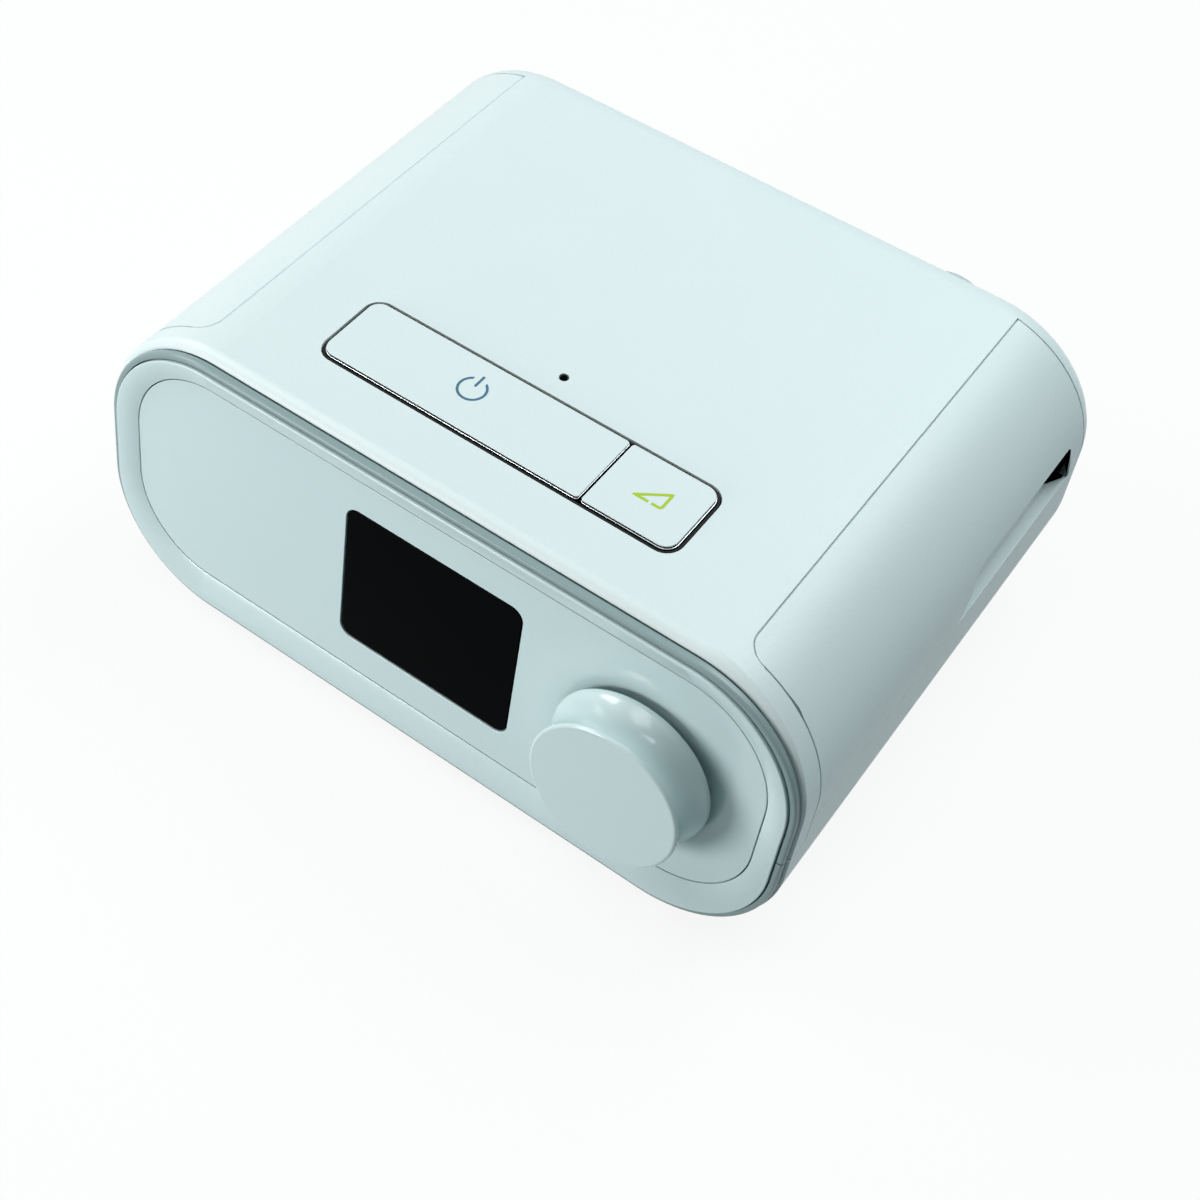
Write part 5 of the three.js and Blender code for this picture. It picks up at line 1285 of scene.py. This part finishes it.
class MACHINE_OT_rear(bpy.types.Operator):
    """Models the rear plate, the hose port, the power socket and the humidifier connector"""

    bl_idname = "machine.rear"
    bl_label = "Rear"

    def execute(self, context):
        r = sizes("rear")
        back = sizes("housing").back - REAR_RECESS
        front = back - WALL
        self.plate(r, front, back)
        self.hose_port(r, back)
        self.power_socket(r, front - SEAT, back)
        self.connector(front - SEAT, back)
        self.contacts(r, back)
        return {"FINISHED"}

    def plate(self, r, front, back):
        plate = thicken(rear_outline("rear_plate", SEAT, front), WALL)
        for name, radius, x, z in (
            ("port_hole", r.port_radius, r.port_x, r.port_z), ("jack_hole", JACK_RADIUS, r.jack_x, r.jack_z)
        ):
            carve(plate, rod(name, radius + SEAT, (x, 0, z), front - OVERRUN, back + OVERRUN, Y, BORE_STEPS))
        carve(plate, self.link("link_hole", SEAT, front - OVERRUN, back + OVERRUN))
        for i in range(SLOT_COUNT):
            z = SLOT_START + i * SLOT_PITCH
            radii, depth = [0.85 * MM] * 4, back - 0.8 * MM
            slot = rounded_plate("slot", SLOT_HALF_WIDTH, z, z + SLOT_HEIGHT, radii, depth, SLOT_X, 4)
            carve(plate, thicken(slot, OVERRUN))
        finish(plate, "grained_grey_abs", "rear_panel", 0.25 * MM)

    def hose_port(self, r, back):
        end, radius, bore = PORT_END, r.port_radius, r.port_bore
        port = (r.port_x, 0, r.port_z)
        profile = [
            (radius, 135 * MM), (radius, end - 2.6 * MM), (radius - 0.15 * MM, end - 2.2 * MM),
            (radius - 0.15 * MM, end - 1.4 * MM), (radius, end - 1 * MM), (radius - 0.1 * MM, end - 0.3 * MM),
            (radius - 0.5 * MM, end), (bore + 0.4 * MM, end), (bore, end - 0.5 * MM), (bore, 137 * MM),
        ]
        tube = turned("hose_port", profile, port)
        carve(tube, rod("bore", bore, port, 130 * MM, 140 * MM, Y, ROUND_STEPS))
        low, high = r.port_z - COLLAR_HALF, r.port_z + COLLAR_HALF
        collar = rounded_plate("collar", COLLAR_HALF, low, high, [8 * MM] * 4, back + SEAT, r.port_x, 10)
        thicken(collar, 2.4 * MM)
        carve(collar, rod("bore", bore, port, back - OVERRUN, back + 3 * OVERRUN, Y, ROUND_STEPS))
        join(tube, collar)
        finish(tube, "grained_grey_abs", "air_outlet_port", 0.3 * MM)

    def power_socket(self, r, inner, back):
        jack = (r.jack_x, 0, r.jack_z)
        low = (r.jack_x - JACK_HALF, inner - 14 * MM, r.jack_z - JACK_HALF)
        socket = block("power_socket", low, (r.jack_x + JACK_HALF, inner, r.jack_z + JACK_HALF))
        join(socket, rod("shroud", JACK_RADIUS, jack, inner - OVERRUN, back + SEAT, Y, BORE_STEPS))
        carve(socket, rod("bore", JACK_BORE, jack, back - 9 * MM, back + OVERRUN, Y, BORE_STEPS))
        finish(socket, "black_moulded_abs", "power_inlet", 0.3 * MM)
        profile = [(0.9 * MM, back - 9.5 * MM), (0.9 * MM, back - 2 * MM), (0.5 * MM, back - 1.4 * MM)]
        finish(turned("power_pin", profile, jack, SMALL_STEPS), "drawn_steel")

    def link(self, name, grow, front, back):
        """A block with the outline of the humidifier connector, grown all round."""
        half, rise, z = LINK_HALF_WIDTH + grow, LINK_HALF_HEIGHT + grow, sizes("rear").jack_z
        return block(name, (-half, front, z - rise), (half, back, z + rise))

    def connector(self, inner, back):
        shell = self.link("accessory_connector", 0, back - 12 * MM, back)
        join(shell, self.link("flange", LINK_WALL, inner - LINK_WALL, inner))
        carve(shell, self.link("socket", -LINK_WALL, back - 7 * MM, back + OVERRUN))
        finish(shell, "black_moulded_abs", "humidifier_connector", 0.25 * MM)

    def contacts(self, r, back):
        tip, half = back - 1.5 * MM, 1.4 * MM
        low, high = (-9.6 * MM, back - 7.5 * MM, r.jack_z - half), (-8.4 * MM, tip, r.jack_z + half)
        blade = round_edges(block("contacts", low, high), 0.3 * MM, 2, on_plane(Y, tip))
        array = modify(
            blade, "ARRAY", count=CONTACT_COUNT, use_relative_offset=False, use_constant_offset=True,
            constant_offset_displace=(CONTACT_PITCH, 0, 0),
        )
        bpy.ops.object.modifier_apply(modifier=array.name)
        finish(blade, "gold_flash")


class MACHINE_OT_feet(bpy.types.Operator):
    """Models the four rubber feet"""

    bl_idname = "machine.feet"
    bl_label = "Feet"

    def execute(self, context):
        profile = [(1.2, 0.35), (4.3, 0.35), (4.6, 0), (5.7, 0), (6.4, 0.2), (6.85, 0.7), (7, 1.4)]
        profile = [(radius * MM, z * MM) for radius, z in profile]
        profile.append((7 * MM, sizes("housing").bottom + 1 * MM))
        for end, y in zip(("front", "rear"), FOOT_YS):
            for side, x in (("left", -FOOT_X), ("right", FOOT_X)):
                name = f"{end}_{side}"
                foot = turned(name + "_pad", profile, (x, y, 0), BORE_STEPS, Z)
                finish(foot, "nitrile_rubber", name + "_foot")
        return {"FINISHED"}


class MACHINE_OT_pads(bpy.types.Operator):
    """Models the pleated air filter and the silencer foam"""

    bl_idname = "machine.pads"
    bl_label = "Filter and foam"

    def execute(self, context):
        low, high = FILTER_LOW, FILTER_HIGH
        pad = block("air_filter_pad", low, high)
        face = high[0] - 0.1 * MM
        round_edges(pad, 1.2 * MM, 4, lambda c: all(p.x > face - 0.3 * MM for p in c))
        edit(pad)
        pick("FACE", lambda c: all(p.x > face for p in c))
        bpy.ops.mesh.subdivide(number_cuts=PLEAT_CUTS)
        pitch = (high[1] - low[1]) / PLEATS
        # The vertices near the middle of each pleat, apart from those along the upper and lower edge
        pick("VERT", lambda c: c[0].x > face and abs(((c[0].y - low[1]) / pitch) % 1 - 0.5) < 0.2
             and low[2] + PLEAT_MARGIN < c[0].z < high[2] - PLEAT_MARGIN)
        bpy.ops.transform.translate(value=(-PLEAT_DEPTH, 0, 0))
        close(pad)
        finish(pad, "needled_polyester_fleece", "pollen_filter", 0.3 * MM)

        foam = block("silencer_pad", (49 * MM, 84 * MM, 6.5 * MM), (64.7 * MM, 123 * MM, 31 * MM))
        carve(foam, block("channel", (45 * MM, 100 * MM, 17 * MM), (70 * MM, 114 * MM, 36 * MM)))
        carve(foam, rod("post_hole", 5.1 * MM, (SCREW_X, SCREW_YS[1], 0), 0, 40 * MM))
        finish(foam, "open_cell_polyurethane_foam", "silencer_foam", 1 * MM)
        return {"FINISHED"}


class MACHINE_OT_inside(bpy.types.Operator):
    """Gives the parts inside their materials"""

    bl_idname = "machine.inside"
    bl_label = "Inside"

    def execute(self, context):
        finishes = {
            "drawn_steel": (
                "display_module", "dial_shaft", "power_switch", "ramp_switch", "filter_door_front_pin",
                "filter_door_rear_pin", "accessory_door_front_pin", "accessory_door_rear_pin", "card_socket",
                "motor_shaft", "motor_bearing", "front_left_screw", "front_right_screw", "rear_left_screw",
                "rear_right_screw",
            ),
            "solder_resist_laminate": ("front_board", "button_board", "main_board"),
            "black_moulded_abs": (
                "dial_plunger", "encoder_body", "power_switch_plunger", "ramp_switch_plunger", "memory_card",
            ),
            "glass_filled_nylon": (
                "inner_frame", "filter_frame", "accessory_cover", "blower_base", "blower_cover",
            ),
            "fine_grained_white_abs": ("impeller",),
            "enamelled_copper_wire": ("motor_stator",),
            "nitrile_rubber": ("motor_rotor",),
            "moulded_silicone": ("blower_damper", "outlet_duct"),
        }
        for material, names in finishes.items():
            for name in names:
                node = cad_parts[name]
                node.data.materials.clear()
                node.data.materials.append(surface(material))
        return {"FINISHED"}


class MACHINE_OT_stage(bpy.types.Operator):
    """Sets the white floor, the soft light and the camera"""

    bl_idname = "machine.stage"
    bl_label = "Stage"

    def execute(self, context):
        scene = context.scene
        s = scene.machine_stage
        scene.view_settings.view_transform = "Standard"
        self.floor()
        self.world(s.sky)
        for name, place, size, share, tint in LAMPS:
            self.lamp(name, place, size, s.lamp_power * share, tint)
        self.camera(s)
        return {"FINISHED"}

    def floor(self):
        """Lays the white paper sweep.

        The paper is pale and glows where it is seen, so that the ground is white and keeps the shadow. What
        it throws back onto the machine is duller.
        """
        bpy.ops.mesh.primitive_plane_add(size=FLOOR_SIZE)
        floor = named("floor")
        material = bpy.data.materials.new("white_paper_sweep")
        tree = empty_tree(material)
        place = add_node(tree, "ShaderNodeTexCoord").outputs["Object"]
        noise = add_node(tree, "ShaderNodeTexNoise", {"Vector": place, "Scale": 1 / PAPER_GRAIN})
        relief = add_node(tree, "ShaderNodeBump", {"Height": noise.outputs["Fac"], "Distance": PAPER_RELIEF})
        normal = relief.outputs["Normal"]
        tones = [(*linear(code), 1) for code in (FLOOR_BOUNCE, FLOOR_PAPER)]
        bounce, paper = (
            add_node(tree, "ShaderNodeBsdfDiffuse", {"Color": tone, "Normal": normal}).outputs["BSDF"]
            for tone in tones
        )
        glow = add_node(tree, "ShaderNodeEmission", {"Color": (*WHITE, 1), "Strength": 1.0})
        seen = add_node(tree, "ShaderNodeMixShader", {0: FLOOR_GLOW, 1: paper, 2: glow.outputs["Emission"]})
        sockets = {0: self.seen_directly(tree), 1: bounce, 2: seen.outputs["Shader"]}
        both = add_node(tree, "ShaderNodeMixShader", sockets)
        add_node(tree, "ShaderNodeOutputMaterial", {"Surface": both.outputs["Shader"]})
        floor.data.materials.append(material)

    def seen_directly(self, tree):
        """1 for what the camera, a mirror or glass shows, and 0 for light that falls on things."""
        ray = add_node(tree, "ShaderNodeLightPath").outputs
        found = ray["Is Camera Ray"]
        for kind in ("Is Glossy Ray", "Is Transmission Ray"):
            found = add_node(tree, "ShaderNodeMath", {0: found, 1: ray[kind]}, operation="MAXIMUM").outputs[0]
        return found

    def world(self, sky):
        world = bpy.data.worlds.new("white_room")
        bpy.context.scene.world = world
        tree = empty_tree(world)
        light, seen = (
            add_node(tree, "ShaderNodeBackground", {"Color": (*tone, 1), "Strength": power}).outputs[0]
            for tone, power in ((SKY, sky), (WHITE, 1.0))
        )
        both = add_node(tree, "ShaderNodeMixShader", {0: self.seen_directly(tree), 1: light, 2: seen})
        add_node(tree, "ShaderNodeOutputWorld", {"Surface": both.outputs["Shader"]})

    def lamp(self, name, place, size, power, tint):
        direction = LAMP_AIM - Vector(place)
        rotation = direction.to_track_quat("-Z", "Y").to_euler()
        bpy.ops.object.light_add(type="AREA", location=place, rotation=rotation)
        lamp = named(name)
        lamp.data.size = size
        lamp.data.energy = power
        lamp.data.color = tint

    def camera(self, s):
        sine, cosine = math.sin(s.azimuth), math.cos(s.azimuth)
        level, drop = math.cos(s.elevation), -math.sin(s.elevation)
        right = Vector((cosine, sine, 0))
        ahead = Vector((-sine * level, cosine * level, drop))
        up = right.cross(ahead)
        view = Matrix((right, up, -ahead)).transposed() @ Matrix.Rotation(s.roll, 3, "Z")
        bpy.ops.object.camera_add(location=s.place, rotation=view.to_euler())
        camera = named("camera")
        camera.data.lens = s.focal_length
        camera.data.sensor_width = 36
        camera.data.shift_x, camera.data.shift_y = s.shift
        camera.data.clip_start = 0.01
        bpy.context.scene.camera = camera


class MACHINE_PT_sidebar(bpy.types.Panel):
    """Lists the pieces of the machine in the sidebar"""

    bl_label = "Breathing machine"
    bl_idname = "MACHINE_PT_sidebar"
    bl_space_type = "VIEW_3D"
    bl_region_type = "UI"
    bl_category = "Breathing machine"

    def draw(self, context):
        for operator in OPERATORS:
            self.layout.operator(operator.bl_idname)
        for name in GROUPS:
            box = self.layout.box()
            group = getattr(context.scene, name)
            for key in group.__annotations__:
                box.prop(group, key)


GROUPS = {
    "machine_housing": HousingSizes,
    "machine_face": FaceSizes,
    "machine_dial": DialSizes,
    "machine_buttons": ButtonSizes,
    "machine_doors": DoorSizes,
    "machine_rear": RearSizes,
    "machine_finishes": Finishes,
    "machine_stage": StageSettings,
}
OPERATORS = (
    MACHINE_OT_housing, MACHINE_OT_doors, MACHINE_OT_scoop, MACHINE_OT_band,
    MACHINE_OT_face, MACHINE_OT_dial, MACHINE_OT_buttons, MACHINE_OT_rear,
    MACHINE_OT_feet, MACHINE_OT_pads, MACHINE_OT_inside, MACHINE_OT_stage,
)


def register():
    for name, group in GROUPS.items():
        bpy.utils.register_class(group)
        setattr(bpy.types.Scene, name, bpy.props.PointerProperty(type=group))
    for kind in (*OPERATORS, MACHINE_PT_sidebar):
        bpy.utils.register_class(kind)


def unregister():
    for kind in (MACHINE_PT_sidebar, *reversed(OPERATORS)):
        bpy.utils.unregister_class(kind)
    for name, group in reversed(GROUPS.items()):
        delattr(bpy.types.Scene, name)
        bpy.utils.unregister_class(group)


def main():
    register()
    for operator in OPERATORS:
        group, name = operator.bl_idname.split(".")
        getattr(getattr(bpy.ops, group), name)()


if __name__ == "__main__":
    main()
